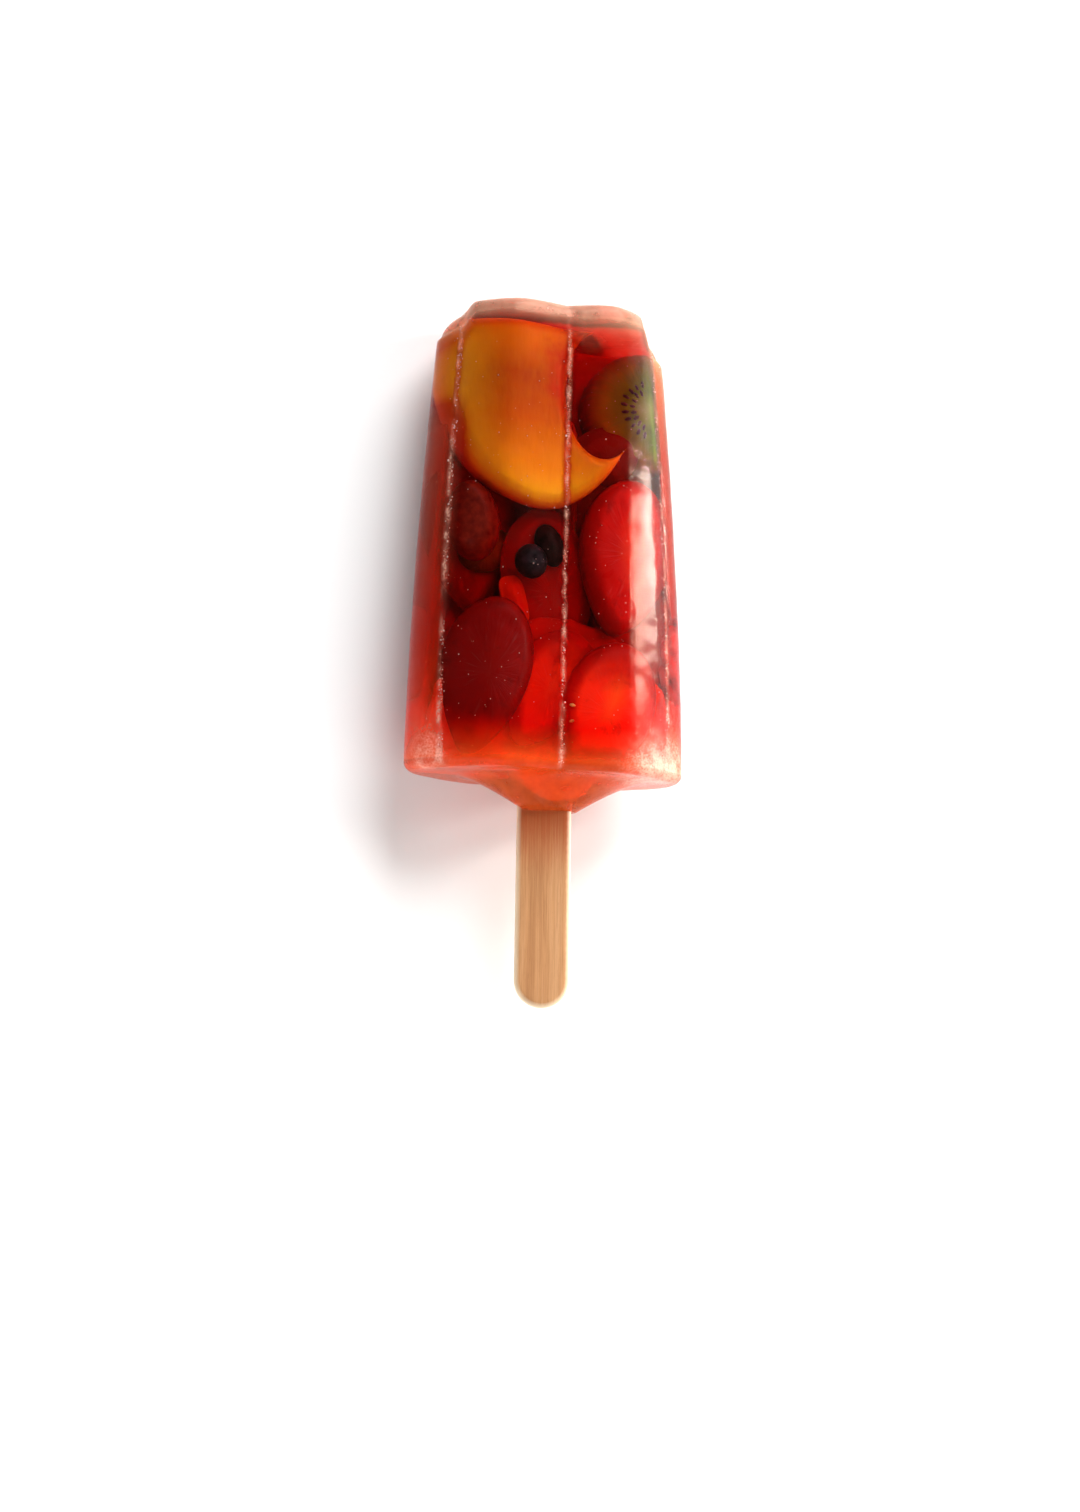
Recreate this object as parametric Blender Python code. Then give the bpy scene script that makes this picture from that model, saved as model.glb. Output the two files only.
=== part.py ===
"""Fruit ice lolly lying on its back.

A ribbed, tapered block of clear fruit ice on a flat wooden stick, with slices and
pieces of fruit frozen in against the wall of the mould, where they show at the surface.

Metres, +Z up. The shown face looks up, +Y runs from the stick to the tip and +X is to
the right. The origin is on the ground, under the middle of the whole lolly.
"""
import math

import bmesh
import bpy

MM = 0.001

# Ice block. "Along" is measured from the base plane to the tip on the block's own axis,
# "across" is sideways from that axis and "depth" is towards the shown face.
ICE_LENGTH = 91.5 * MM
BASE_HALF_WIDTH = 27.0 * MM
TIP_WIDTH_LOSS = 5.0 * MM       # how much the half width shrinks by the tip
TAPER_POWER = 1.7               # the sides start parallel and lean in more and more
BASE_HALF_DEPTH = 12.4 * MM
TIP_HALF_DEPTH = 9.9 * MM
SECTION_POWER = 2.6             # superellipse: 2 is an ellipse, more is boxier
REST_FLAT = 0.3 * MM            # the back ribs are worn flat by this much to rest on

# Mould ribs: two on the front, two on the back and one on each side.
FACE_RIB_HEIGHT = 1.9 * MM
SIDE_RIB_HEIGHT = 1.6 * MM
BASE_GROOVE_ACROSS = 0.87       # outer grooves, as a share of the half width
TIP_GROOVE_ACROSS = 0.92
CREST_ACROSS = 0.56             # crests, as a share of the way to the outer grooves
MIDDLE_DRIFT = 1.4 * MM         # how far the middle groove leans to the right by the tip
FACE_CREST_SOFTNESS = 0.22      # 0 is a sharp roof, more is a rounder crest
SIDE_CREST_SOFTNESS = 1.2

# Tip: a flat top with low shoulders over the side ribs.
TIP_EDGE_DROP = 3.2 * MM
TIP_EDGE_INSET = 2.6 * MM
SHOULDER_DROP = 3.8 * MM        # from the flat top down to the top of the side ribs
SHOULDER_UNEVEN = 1.2 * MM      # the right shoulder is lower than that, the left higher
SHOULDER_RUN = 2.4 * MM         # sideways length of that step
SHOULDER_SLOPE = 0.4            # fall of the side rib's own top towards the wall
TIP_SKEW = 0.03                 # the top rises to the right by this slope

# Base: a rounded rim and a collar of ice drawn up round the stick.
BASE_EDGE_DROP = 1.8 * MM
BASE_EDGE_INSET = 2.0 * MM
COLLAR_HEIGHT = 6.2 * MM
COLLAR_HALF_WIDTH = 18.0 * MM
COLLAR_HALF_DEPTH = 9.5 * MM
COLLAR_SHIFT = 1.2 * MM
COLLAR_TOP = 0.28               # share of those half sizes that stays at full height
COLLAR_CURVE = 1.3              # above 1 the collar is hollow like a funnel

# Wooden stick, turned a little about its length.
STICK_LENGTH = 114.0 * MM
STICK_WIDTH = 10.2 * MM
STICK_THICKNESS = 2.0 * MM
STICK_EDGE_RADIUS = 0.75 * MM
STICK_OUT = 42.9 * MM
STICK_TWIST = math.radians(-12.0)

# Fruit frozen in.
FRONT = 2.9 * MM                # nearest that a front slice comes to the middle plane
BEYOND = 20.0 * MM              # depth that is certainly outside the ice
CLEARANCE = 0.3 * MM            # between the ice and every piece that is frozen in it

# Mesh density of the ice block.
SIDE_STEPS = 3                  # quarter section, from the side crest to the outer groove
FACE_STEPS = 5                  # from the outer groove to a crest, and on to the middle
LENGTH_STEPS = 13
EDGE_STEPS = 3
CAP_STEPS = 5

LEAN = math.atan((BASE_HALF_DEPTH - TIP_HALF_DEPTH) / ICE_LENGTH)
BASE_Y = -(ICE_LENGTH - STICK_OUT) / 2.0
AXIS_HEIGHT = (BASE_HALF_DEPTH - REST_FLAT) * math.cos(LEAN)


# ---------------------------------------------------------------- scene helpers

def clear_scene():
    for item in list(bpy.data.objects):
        bpy.data.objects.remove(item, do_unlink=True)


def new_collection(name, parent):
    group = bpy.data.collections.new(name)
    parent.children.link(group)
    return group


def new_material(name, colour, roughness, transmission=0.0):
    made = bpy.data.materials.new(name)
    made.use_nodes = True
    shader = made.node_tree.nodes["Principled BSDF"]
    shader.inputs["Base Color"].default_value = (*colour, 1.0)
    shader.inputs["Roughness"].default_value = roughness
    shader.inputs["Metallic"].default_value = 0.0
    shader.inputs["Transmission Weight"].default_value = transmission
    return made


def add_object(name, mesh, group, parent, made_of=None):
    item = bpy.data.objects.new(name, mesh)
    group.objects.link(item)
    item.parent = parent
    if made_of:
        mesh.materials.append(made_of)
    return item


def hide_cutter(item):
    item.hide_render = True
    item.display_type = "WIRE"


def keep_inside(item, mould):
    """Trims the item flush with the mould."""
    trim = item.modifiers.new("inside_mould", "BOOLEAN")
    trim.operation = "INTERSECT"
    trim.object = mould
    trim.solver = "EXACT"


def cut_out(item, group):
    """Cuts everything in a collection out of the item."""
    cut = item.modifiers.new("pockets", "BOOLEAN")
    cut.operation = "DIFFERENCE"
    cut.operand_type = "COLLECTION"
    cut.collection = group
    cut.solver = "EXACT"


# ---------------------------------------------------------------- ice block

def half_width(along):
    share = min(max(along / ICE_LENGTH, 0.0), 1.0)
    return BASE_HALF_WIDTH - TIP_WIDTH_LOSS * share ** TAPER_POWER


def half_depth(along):
    share = min(max(along / ICE_LENGTH, 0.0), 1.0)
    return BASE_HALF_DEPTH + (TIP_HALF_DEPTH - BASE_HALF_DEPTH) * share


def rib(place, softness):
    """Height of a rib from 0 in its grooves (place -1 and 1) to 1 on its crest (0)."""
    fall = math.hypot(place, softness) - softness
    return 1.0 - fall / (math.hypot(1.0, softness) - softness)


def superellipse(share):
    return (1.0 - share ** SECTION_POWER) ** (1.0 / SECTION_POWER)


def groove_share(along):
    return BASE_GROOVE_ACROSS + (TIP_GROOVE_ACROSS - BASE_GROOVE_ACROSS) * along / ICE_LENGTH


def half_section(along, side):
    """(across, depth) points of the front's right (side 1) or left (-1) half, from the
    side crest to the middle groove."""
    wide = half_width(along) - SIDE_RIB_HEIGHT
    groove = groove_share(along)
    deep = (half_depth(along) - FACE_RIB_HEIGHT) / superellipse(CREST_ACROSS * groove)
    groove_depth = deep * superellipse(groove)
    points = []
    for step in range(SIDE_STEPS):
        share = step / SIDE_STEPS
        depth = groove_depth * share
        swell = SIDE_RIB_HEIGHT * rib(share, SIDE_CREST_SOFTNESS)
        across = wide * superellipse(depth / deep) + swell
        points.append((side * across, depth))
    for step in range(2 * FACE_STEPS + 1):
        place = 1.0 - step / FACE_STEPS
        if place > 0.0:
            share = CREST_ACROSS + (1.0 - CREST_ACROSS) * place
        else:
            share = CREST_ACROSS * (1.0 + place)
        across = groove * wide * share
        swell = FACE_RIB_HEIGHT * rib(place, FACE_CREST_SOFTNESS)
        drift = MIDDLE_DRIFT * along / ICE_LENGTH * (1.0 - share * share)
        points.append((side * across + drift, deep * superellipse(across / wide) + swell))
    return points


def section(along):
    """The whole outline, from the right side over the front to the left, and back."""
    front = half_section(along, 1) + half_section(along, -1)[-2::-1]
    back = [(across, -depth) for across, depth in front[-2:0:-1]]
    return front + back


def on_the_ground(along, depth):
    """The back ribs end in the ground plane."""
    return max(depth, REST_FLAT - half_depth(along))


def tip_height(across):
    """The top over a point: flat, then a step down to the sloping side ribs."""
    groove = TIP_GROOVE_ACROSS * (half_width(ICE_LENGTH) - SIDE_RIB_HEIGHT)
    past = (abs(across) - (groove - SHOULDER_RUN)) / SHOULDER_RUN
    step = min(max(past, 0.0), 1.0)
    step = step * step * (3.0 - 2.0 * step)
    outside = max(abs(across) - groove, 0.0)
    drop = SHOULDER_DROP + math.copysign(SHOULDER_UNEVEN, across)
    return ICE_LENGTH + TIP_SKEW * across - drop * step - SHOULDER_SLOPE * outside


def collar_height(across, depth):
    """Ice that has crept up the stick: highest against it, thinning outwards."""
    sideways = (across - COLLAR_SHIFT) / COLLAR_HALF_WIDTH
    distance = math.hypot(sideways, depth / COLLAR_HALF_DEPTH)
    fall = min(max((distance - COLLAR_TOP) / (1.0 - COLLAR_TOP), 0.0), 1.0)
    return COLLAR_HEIGHT * (1.0 - fall) ** COLLAR_CURVE


def rounding(step, steps):
    """Share of a rounded edge's inset and drop still to go, from the wall to the cap."""
    angle = 0.5 * math.pi * step / steps
    return math.cos(angle), 1.0 - math.sin(angle)


def scaled_ring(outline, inset, along_at):
    """The outline pulled in towards its middle, with its length position worked out."""
    ring = []
    for across, depth in outline:
        size = math.hypot(across, depth)
        shrink = max(1.0 - inset / size, 0.0)
        place = across * shrink, depth * shrink
        along = along_at(*place)
        ring.append((place[0], along, on_the_ground(along, place[1])))
    return ring


def ice_rings():
    """Rings of points from the middle of the base to the middle of the tip."""
    base = section(0.0)
    tip = section(ICE_LENGTH)
    rim = []
    for step in range(EDGE_STEPS, 0, -1):
        gone, drop = rounding(step, EDGE_STEPS)
        inset = BASE_EDGE_INSET * (1.0 - gone)
        height = BASE_EDGE_DROP * drop
        rim.append(scaled_ring(base, inset, lambda x, z: height - collar_height(x, z)))
    rings = []
    for step in range(1, CAP_STEPS):
        share = step / CAP_STEPS
        ring = []
        for across, _, depth in rim[0]:
            place = across * share, depth * share
            ring.append((place[0], -collar_height(*place), place[1]))
        rings.append(ring)
    rings += rim
    for step in range(LENGTH_STEPS + 1):
        share = step / LENGTH_STEPS
        ring = []
        for index, (across, _) in enumerate(tip):
            top = tip_height(across) - TIP_EDGE_DROP
            along = BASE_EDGE_DROP + (top - BASE_EDGE_DROP) * share
            wide, deep = section(along)[index]
            ring.append((wide, along, on_the_ground(along, deep)))
        rings.append(ring)
    for step in range(1, EDGE_STEPS + 1):
        gone, drop = rounding(step, EDGE_STEPS)
        inset = TIP_EDGE_INSET * (1.0 - gone)
        height = TIP_EDGE_DROP * drop
        rings.append(scaled_ring(tip, inset, lambda x, z: tip_height(x) - height))
    for step in range(1, CAP_STEPS):
        ring = []
        for across, _, depth in rings[-step]:
            share = 1.0 - step / CAP_STEPS
            ring.append((across * share, tip_height(across * share), depth * share))
        rings.append(ring)
    return rings


def loft(name, rings, first, last):
    """Closed skin through rings of equal length, ending in the points first and last."""
    mesh = bpy.data.meshes.new(name)
    shape = bmesh.new()
    loops = [[shape.verts.new(point) for point in ring] for ring in rings]
    start = shape.verts.new(first)
    end = shape.verts.new(last)
    count = len(rings[0])
    for index in range(count):
        after = (index + 1) % count
        shape.faces.new((start, loops[0][index], loops[0][after]))
        shape.faces.new((end, loops[-1][after], loops[-1][index]))
        for low, high in zip(loops, loops[1:]):
            shape.faces.new((low[index], high[index], high[after], low[after]))
    bmesh.ops.recalc_face_normals(shape, faces=shape.faces)
    bmesh.ops.triangulate(shape, faces=shape.faces)
    shape.to_mesh(mesh)
    shape.free()
    return mesh


def ice_mesh(name):
    middle = (0.0, -collar_height(0.0, 0.0), 0.0)
    return loft(name, ice_rings(), middle, (0.0, ICE_LENGTH, 0.0))


# ---------------------------------------------------------------- flat shapes

def slab_mesh(name, outline, low, high, edge, grow=0.0):
    """A flat outline with rounded edges, filling depths from low to high.

    grow pushes every side outwards, which turns a piece into the cutter for its pocket.
    """
    curve = bpy.data.curves.new(name, "CURVE")
    curve.dimensions = "2D"
    curve.fill_mode = "BOTH"
    curve.extrude = (high - low) / 2.0 + grow - edge
    curve.bevel_depth = edge
    curve.bevel_resolution = 1
    curve.offset = grow - edge
    line = curve.splines.new("POLY")
    line.points.add(len(outline) - 1)
    for point, (across, along) in zip(line.points, outline):
        point.co = (across, along, 0.0, 1.0)
    line.use_cyclic_u = True
    source = bpy.data.objects.new(name, curve)
    bpy.context.scene.collection.objects.link(source)
    view = bpy.context.evaluated_depsgraph_get()
    mesh = bpy.data.meshes.new_from_object(source.evaluated_get(view))
    bpy.data.objects.remove(source, do_unlink=True)
    shape = bmesh.new()
    shape.from_mesh(mesh)
    bmesh.ops.remove_doubles(shape, verts=shape.verts, dist=0.01 * MM)
    bmesh.ops.translate(shape, verts=shape.verts, vec=(0.0, 0.0, (low + high) / 2.0))
    bmesh.ops.recalc_face_normals(shape, faces=shape.faces)
    shape.to_mesh(mesh)
    shape.free()
    return mesh


def arc(centre, radii, start, end, steps):
    """Points on an ellipse's arc between two angles in degrees."""
    points = []
    for step in range(steps + 1):
        angle = math.radians(start + (end - start) * step / steps)
        points.append((
            centre[0] + radii[0] * math.cos(angle),
            centre[1] + radii[1] * math.sin(angle),
        ))
    return points


def stadium(length, width, steps):
    """A strip with round ends."""
    radius = width / 2.0
    straight = length / 2.0 - radius
    far = arc((0.0, straight), (radius, radius), 0.0, 180.0, steps)
    near = arc((0.0, -straight), (radius, radius), 180.0, 360.0, steps)
    return far + near


def strawberry_outline(width, length, steps=30):
    """Half of a strawberry seen on its cut face: broad shoulders and a narrow point."""
    points = []
    for step in range(steps):
        angle = 2.0 * math.pi * step / steps
        lift = math.sin(angle)
        shoulder = 1.0 + 0.28 * lift - 0.12 * lift * lift
        points.append((width / 2.0 * math.cos(angle) * shoulder, length / 2.0 * lift))
    return points


def peach_outline(radii, top, pit_centre, pit_radii):
    """A slice of peach: cut straight at the top and hollow where the stone was."""
    left = 180.0 - math.degrees(math.asin(top / radii[1]))
    skin = arc((0.0, 0.0), radii, left, 326.0, 24)
    pit = arc(pit_centre, pit_radii, -50.0, -256.0, 16)
    return skin + pit


def chunk_outline(width, length, steps=20):
    """A cut cube of fruit with soft corners."""
    points = []
    for step in range(steps):
        angle = 2.0 * math.pi * step / steps
        x = math.cos(angle)
        y = math.sin(angle)
        points.append((
            width / 2.0 * math.copysign(abs(x) ** 0.6, x),
            length / 2.0 * math.copysign(abs(y) ** 0.6, y),
        ))
    return points


def berry_mesh(name, radii, grow=0.0, lumps=0.0):
    """A round fruit; lumps raises the beads that a raspberry is made of."""
    mesh = bpy.data.meshes.new(name)
    shape = bmesh.new()
    bmesh.ops.create_uvsphere(shape, u_segments=20, v_segments=12, radius=1.0)
    for vert in shape.verts:
        turn = math.atan2(vert.co.y, vert.co.x)
        rise = math.asin(max(-1.0, min(1.0, vert.co.z)))
        bead = lumps * math.cos(5.0 * turn) * math.cos(6.0 * rise) * math.cos(rise)
        for axis in range(3):
            vert.co[axis] *= radii[axis] + bead + grow
    shape.to_mesh(mesh)
    shape.free()
    return mesh


# ---------------------------------------------------------------- fruit

def fruit_pieces():
    """name: (mesh maker taking a name and grow, (across, along, depth), turn in degrees,
    material). A slice's depths are from the middle plane, so its own depth is zero."""
    def slice_of(outline, low, high):
        return lambda name, grow: slab_mesh(name, outline, low, high, 0.7 * MM, grow)

    def berry_of(radii, lumps=0.0):
        return lambda name, grow: berry_mesh(name, radii, grow, lumps)

    peach = peach_outline(
        (18.8 * MM, 27.5 * MM), 9.8 * MM, (11.9 * MM, -2.8 * MM), (7.0 * MM, 12.2 * MM))
    kiwi = arc((0.0, 0.0), (11.6 * MM, 11.9 * MM), 0.0, 350.0, 35)
    return {
        "peach_slice": (
            slice_of(peach, FRONT, BEYOND),
            (-3.5 * MM, 77.7 * MM, 0.0), 0.0, "peach"),
        "peach_chunk": (
            slice_of(chunk_outline(12.0 * MM, 18.0 * MM), -6.5 * MM, 2.3 * MM),
            (-25.8 * MM, 22.3 * MM, 0.0), 4.0, "peach"),
        "kiwi_slice": (
            slice_of(kiwi, -4.5 * MM, 2.3 * MM),
            (17.6 * MM, 72.0 * MM, 0.0), 0.0, "kiwi"),
        "strawberry_upper": (
            slice_of(strawberry_outline(18.0 * MM, 31.0 * MM), FRONT, BEYOND),
            (13.3 * MM, 41.9 * MM, 0.0), -9.0, "strawberry"),
        "strawberry_right": (
            slice_of(strawberry_outline(17.0 * MM, 29.0 * MM), FRONT, BEYOND),
            (9.0 * MM, 11.0 * MM, 0.0), -20.0, "strawberry"),
        "strawberry_left": (
            slice_of(strawberry_outline(15.6 * MM, 30.0 * MM), FRONT, BEYOND),
            (-13.8 * MM, 17.2 * MM, 0.0), -10.0, "strawberry"),
        "dark_cherry": (
            berry_of((4.9 * MM, 7.8 * MM, 4.7 * MM)),
            (-16.0 * MM, 47.0 * MM, 5.0 * MM), 8.0, "cherry"),
        "blueberry": (
            berry_of((3.1 * MM, 3.3 * MM, 3.0 * MM)),
            (-5.8 * MM, 39.4 * MM, 8.4 * MM), 0.0, "blueberry"),
        "raspberry": (
            berry_of((5.8 * MM, 8.6 * MM, 5.3 * MM), 0.35 * MM),
            (23.4 * MM, 24.4 * MM, -3.0 * MM), 6.0, "raspberry"),
    }


def make_materials():
    return {
        "juice_ice": new_material("juice_ice", (0.78, 0.16, 0.08), 0.12, 0.85),
        "pale_wood": new_material("pale_wood", (0.52, 0.30, 0.15), 0.6),
        "peach": new_material("peach", (0.85, 0.35, 0.03), 0.3),
        "kiwi": new_material("kiwi", (0.28, 0.30, 0.04), 0.3),
        "strawberry": new_material("strawberry", (0.62, 0.02, 0.01), 0.3),
        "cherry": new_material("cherry", (0.10, 0.005, 0.01), 0.25),
        "blueberry": new_material("blueberry", (0.02, 0.02, 0.04), 0.35),
        "raspberry": new_material("raspberry", (0.50, 0.01, 0.03), 0.35),
    }


def add_stick(group, pockets, axis, made_of):
    """The stick, and the slot that its inner part fills in the ice."""
    outline = stadium(STICK_LENGTH, STICK_WIDTH, 10)
    middle = STICK_LENGTH / 2.0 - STICK_OUT
    half = STICK_THICKNESS / 2.0
    stick = add_object(
        "stick", slab_mesh("stick", outline, -half, half, STICK_EDGE_RADIUS),
        group, axis, made_of)
    slot = add_object(
        "stick_slot", slab_mesh("stick_slot", outline, -half, half, STICK_EDGE_RADIUS, CLEARANCE),
        pockets, axis)
    for item in (stick, slot):
        item.location = (0.0, middle, 0.0)
        item.rotation_euler = (0.0, STICK_TWIST, 0.0)
    hide_cutter(slot)


def add_fruit(group, pockets, axis, mould, materials):
    """Every piece of fruit, trimmed flush with the mould, and the pocket it fills."""
    for name, (make, place, turn, slot) in fruit_pieces().items():
        piece = add_object(name, make(name, 0.0), group, axis, materials[slot])
        pocket = add_object(f"{name}_pocket", make(f"{name}_pocket", CLEARANCE), pockets, axis)
        for item in (piece, pocket):
            item.location = place
            item.rotation_euler = (0.0, 0.0, math.radians(turn))
        hide_cutter(pocket)
        keep_inside(piece, mould)


def main():
    clear_scene()
    scene = bpy.context.scene.collection
    group = new_collection("fruit_ice_lolly", scene)
    cutters = new_collection("fruit_ice_lolly_cutters", scene)
    pockets = new_collection("fruit_ice_lolly_pockets", cutters)
    materials = make_materials()

    axis = bpy.data.objects.new("block_axis", None)
    group.objects.link(axis)
    axis.location = (0.0, BASE_Y, AXIS_HEIGHT)
    axis.rotation_euler = (-LEAN, 0.0, 0.0)

    mould = add_object("mould", ice_mesh("mould"), cutters, axis)
    hide_cutter(mould)
    add_stick(group, pockets, axis, materials["pale_wood"])
    add_fruit(group, pockets, axis, mould, materials)

    ice = add_object("ice", ice_mesh("ice"), group, axis, materials["juice_ice"])
    ice.data.shade_smooth()
    ice.data.set_sharp_from_angle(angle=math.radians(35.0))
    cut_out(ice, pockets)
    bpy.context.view_layer.update()


main()
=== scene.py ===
"""Looks of the fruit ice lolly: clear juice ice over real fruit shapes, frost in the
mould's grooves, and a wooden stick, on a pale floor under soft light from the right."""
import math

import bmesh
import bpy
import numpy as np
from mathutils import Matrix, Vector, geometry, noise


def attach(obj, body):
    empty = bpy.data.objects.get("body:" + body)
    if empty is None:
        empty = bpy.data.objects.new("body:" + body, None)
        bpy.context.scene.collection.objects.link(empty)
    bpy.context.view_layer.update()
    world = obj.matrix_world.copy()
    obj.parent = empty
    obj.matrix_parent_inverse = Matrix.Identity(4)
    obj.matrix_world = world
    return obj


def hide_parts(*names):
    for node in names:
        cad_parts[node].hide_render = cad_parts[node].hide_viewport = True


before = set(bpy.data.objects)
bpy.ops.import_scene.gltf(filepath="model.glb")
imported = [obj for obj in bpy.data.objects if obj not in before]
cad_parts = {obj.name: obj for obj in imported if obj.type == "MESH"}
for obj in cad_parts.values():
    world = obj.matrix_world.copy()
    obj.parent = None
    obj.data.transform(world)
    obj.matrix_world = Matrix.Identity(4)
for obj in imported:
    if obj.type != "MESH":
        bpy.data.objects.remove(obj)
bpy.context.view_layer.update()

MM = 0.001

# The block's own shape, as its CAD solid has it.
ICE_LENGTH = 91.5
BASE_HALF_WIDTH = 27.0
TIP_WIDTH_LOSS = 5.0
TAPER_POWER = 1.7
BASE_HALF_DEPTH = 12.4
TIP_HALF_DEPTH = 9.9
SECTION_POWER = 2.6
REST_FLAT = 0.3
FACE_RIB_HEIGHT = 1.9
SIDE_RIB_HEIGHT = 1.6
BASE_GROOVE_ACROSS = 0.87
TIP_GROOVE_ACROSS = 0.92
CREST_ACROSS = 0.56
MIDDLE_DRIFT = 1.4
FACE_CREST_SOFTNESS = 0.22
SIDE_CREST_SOFTNESS = 1.2
TIP_EDGE_DROP = 3.2
TIP_EDGE_INSET = 2.6
SHOULDER_DROP = 3.8
SHOULDER_UNEVEN = 1.2
SHOULDER_RUN = 2.4
SHOULDER_SLOPE = 0.4
TIP_SKEW = 0.03
BASE_EDGE_DROP = 1.8
BASE_EDGE_INSET = 2.0
COLLAR_HEIGHT = 6.2
COLLAR_HALF_WIDTH = 18.0
COLLAR_HALF_DEPTH = 9.5
COLLAR_SHIFT = 1.2
COLLAR_TOP = 0.28
COLLAR_CURVE = 1.3
STICK_LENGTH = 114.0
STICK_WIDTH = 10.2
STICK_THICKNESS = 2.0
STICK_OUT = 42.9
STICK_TWIST = math.radians(-12.0)

LEAN = math.atan((BASE_HALF_DEPTH - TIP_HALF_DEPTH) / ICE_LENGTH)
BASE_Y = -(ICE_LENGTH - STICK_OUT) / 2.0
AXIS_HEIGHT = (BASE_HALF_DEPTH - REST_FLAT) * math.cos(LEAN)

# Fine mesh of the block.
SIDE_STEPS = 16
FACE_STEPS = 28
LENGTH_STEPS = 150
EDGE_STEPS = 10
CAP_STEPS = 12

INSET = 0.45            # how far fruit is pulled in from the block's section, rest flat apart
BEYOND = 20.0           # a slice's depth past the ice, where the skin cuts it off
FRONT = 2.9             # the inner face of the slices at the front
BACK = -6.3             # and of those at the back
SLICE_SPACING = 0.6
SLICE_EDGE = 2.8        # how far a slice's rounded edge reaches in
SLICE_WAVE = 0.15
SLAB_LEVELS = 4         # rows of faces on a slab's side
BALL_TURNS = 48
BALL_ROWS = 32

# How milky the block's skin is: frost, with painted light at the base and painted sheen round the
# tip.
END_FROST_AND_LIGHT = 0.42         # the base and its edge; frost and painted light
BASE_FROST_AND_LIGHT = 0.40        # next to the base; frost and painted light
SIDE_RIB_FILM = 0.24
GROOVE_FILM = 0.13      # the left groove
TIP_SHEEN_FILM = 0.18        # painted sheen, right of the middle groove, towards the tip
TIP_SIDE_FROST_AND_SHEEN = 0.30    # next to the tip; frost and painted sheen
TIP_EDGE_FROST_AND_SHEEN = 0.40    # where the tip's edge starts to round; frost and painted sheen
TIP_FILM_GAIN = 0.15    # what is added on the way round that edge
TIP_CAP_GAIN = 0.17     # what is lost from there to the tip's middle
TIP_FROST_AND_SHEEN = 0.38         # the tip's middle; frost and painted sheen
JUICE_COLOUR = (0.94, 0.25, 0.08, 1.0)
JUICE_DENSITY = 320.0

KIWI_PLACE = (17.6, 72.0)
KIWI_TOP = 6.4

# The studio, in metres.
FLOOR_REACH = 9.0
FLOOR_GAP = 0.00002     # the floor is this far under the ground plane
CAMERA_DISTANCE = 0.4
AIM_LEFT = 0.0008
AIM_BELOW = 0.0195


def to_row(points):
    """(across, along, depth) in mm on the block's axis to metres in the row frame."""
    p = np.asarray(points, float)
    c, s = math.cos(LEAN), math.sin(LEAN)
    return MM * np.stack([
        p[..., 0],
        BASE_Y + p[..., 1] * c + p[..., 2] * s,
        AXIS_HEIGHT - p[..., 1] * s + p[..., 2] * c,
    ], axis=-1)


# ---- shape of the block

def smoothstep(share):
    return share * share * (3.0 - 2.0 * share)


def on_block(along):
    return np.clip(along, 0.0, ICE_LENGTH)


def half_width(along):
    share = np.clip(along / ICE_LENGTH, 0.0, 1.0)
    return BASE_HALF_WIDTH - TIP_WIDTH_LOSS * share ** TAPER_POWER


def half_depth(along):
    share = np.clip(along / ICE_LENGTH, 0.0, 1.0)
    return BASE_HALF_DEPTH + (TIP_HALF_DEPTH - BASE_HALF_DEPTH) * share


def middle_drift(along):
    """How far to the right the middle groove is."""
    return MIDDLE_DRIFT * along / ICE_LENGTH


def rib(place, softness):
    fall = np.hypot(place, softness) - softness
    return 1.0 - fall / (math.hypot(1.0, softness) - softness)


def superellipse(share):
    inner = np.maximum(1.0 - np.abs(share) ** SECTION_POWER, 0.0)
    return inner ** (1.0 / SECTION_POWER)


def groove_share(along):
    return BASE_GROOVE_ACROSS + (TIP_GROOVE_ACROSS - BASE_GROOVE_ACROSS) * along / ICE_LENGTH


def section_sizes(along):
    """Width without side ribs, groove share, and the depth of the plain superellipse."""
    wide = half_width(along) - SIDE_RIB_HEIGHT
    groove = groove_share(along)
    deep = (half_depth(along) - FACE_RIB_HEIGHT) / superellipse(CREST_ACROSS * groove)
    return wide, groove, deep


def outline_table():
    """For each point of the whole outline: side, facing, side rib share, face place."""
    half = [(share / SIDE_STEPS, None) for share in range(SIDE_STEPS)]
    half += [(None, 1.0 - step / FACE_STEPS) for step in range(2 * FACE_STEPS + 1)]
    front = [(1.0, *item) for item in half] + [(-1.0, *item) for item in half[-2::-1]]
    back = front[-2:0:-1]
    rows = [(side, 1.0, *rest) for side, *rest in front]
    rows += [(side, -1.0, *rest) for side, *rest in back]
    side = np.array([row[0] for row in rows])
    facing = np.array([row[1] for row in rows])
    on_side = np.array([row[2] is not None for row in rows])
    share = np.array([0.0 if row[2] is None else row[2] for row in rows])
    place = np.array([0.0 if row[3] is None else row[3] for row in rows])
    return side, facing, on_side, share, place


SIDE, FACING, ON_SIDE, RIB_SHARE, PLACE = outline_table()
FACE_SHARE = np.where(
    PLACE > 0.0, CREST_ACROSS + (1.0 - CREST_ACROSS) * PLACE, CREST_ACROSS * (1.0 + PLACE))


def section(along):
    """(across, depth) of every outline point, each at its own place along the block."""
    wide, groove, deep = section_sizes(along)
    side_depth = deep * superellipse(groove) * RIB_SHARE
    side_across = wide * superellipse(side_depth / deep)
    side_across += SIDE_RIB_HEIGHT * rib(RIB_SHARE, SIDE_CREST_SOFTNESS)
    face_across = groove * wide * FACE_SHARE
    face_depth = deep * superellipse(face_across / wide)
    face_depth += FACE_RIB_HEIGHT * rib(PLACE, FACE_CREST_SOFTNESS)
    drift = middle_drift(along) * (1.0 - FACE_SHARE ** 2)
    across = np.where(ON_SIDE, SIDE * side_across, SIDE * face_across + drift)
    depth = np.where(ON_SIDE, side_depth, face_depth)
    return across, FACING * depth


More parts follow.
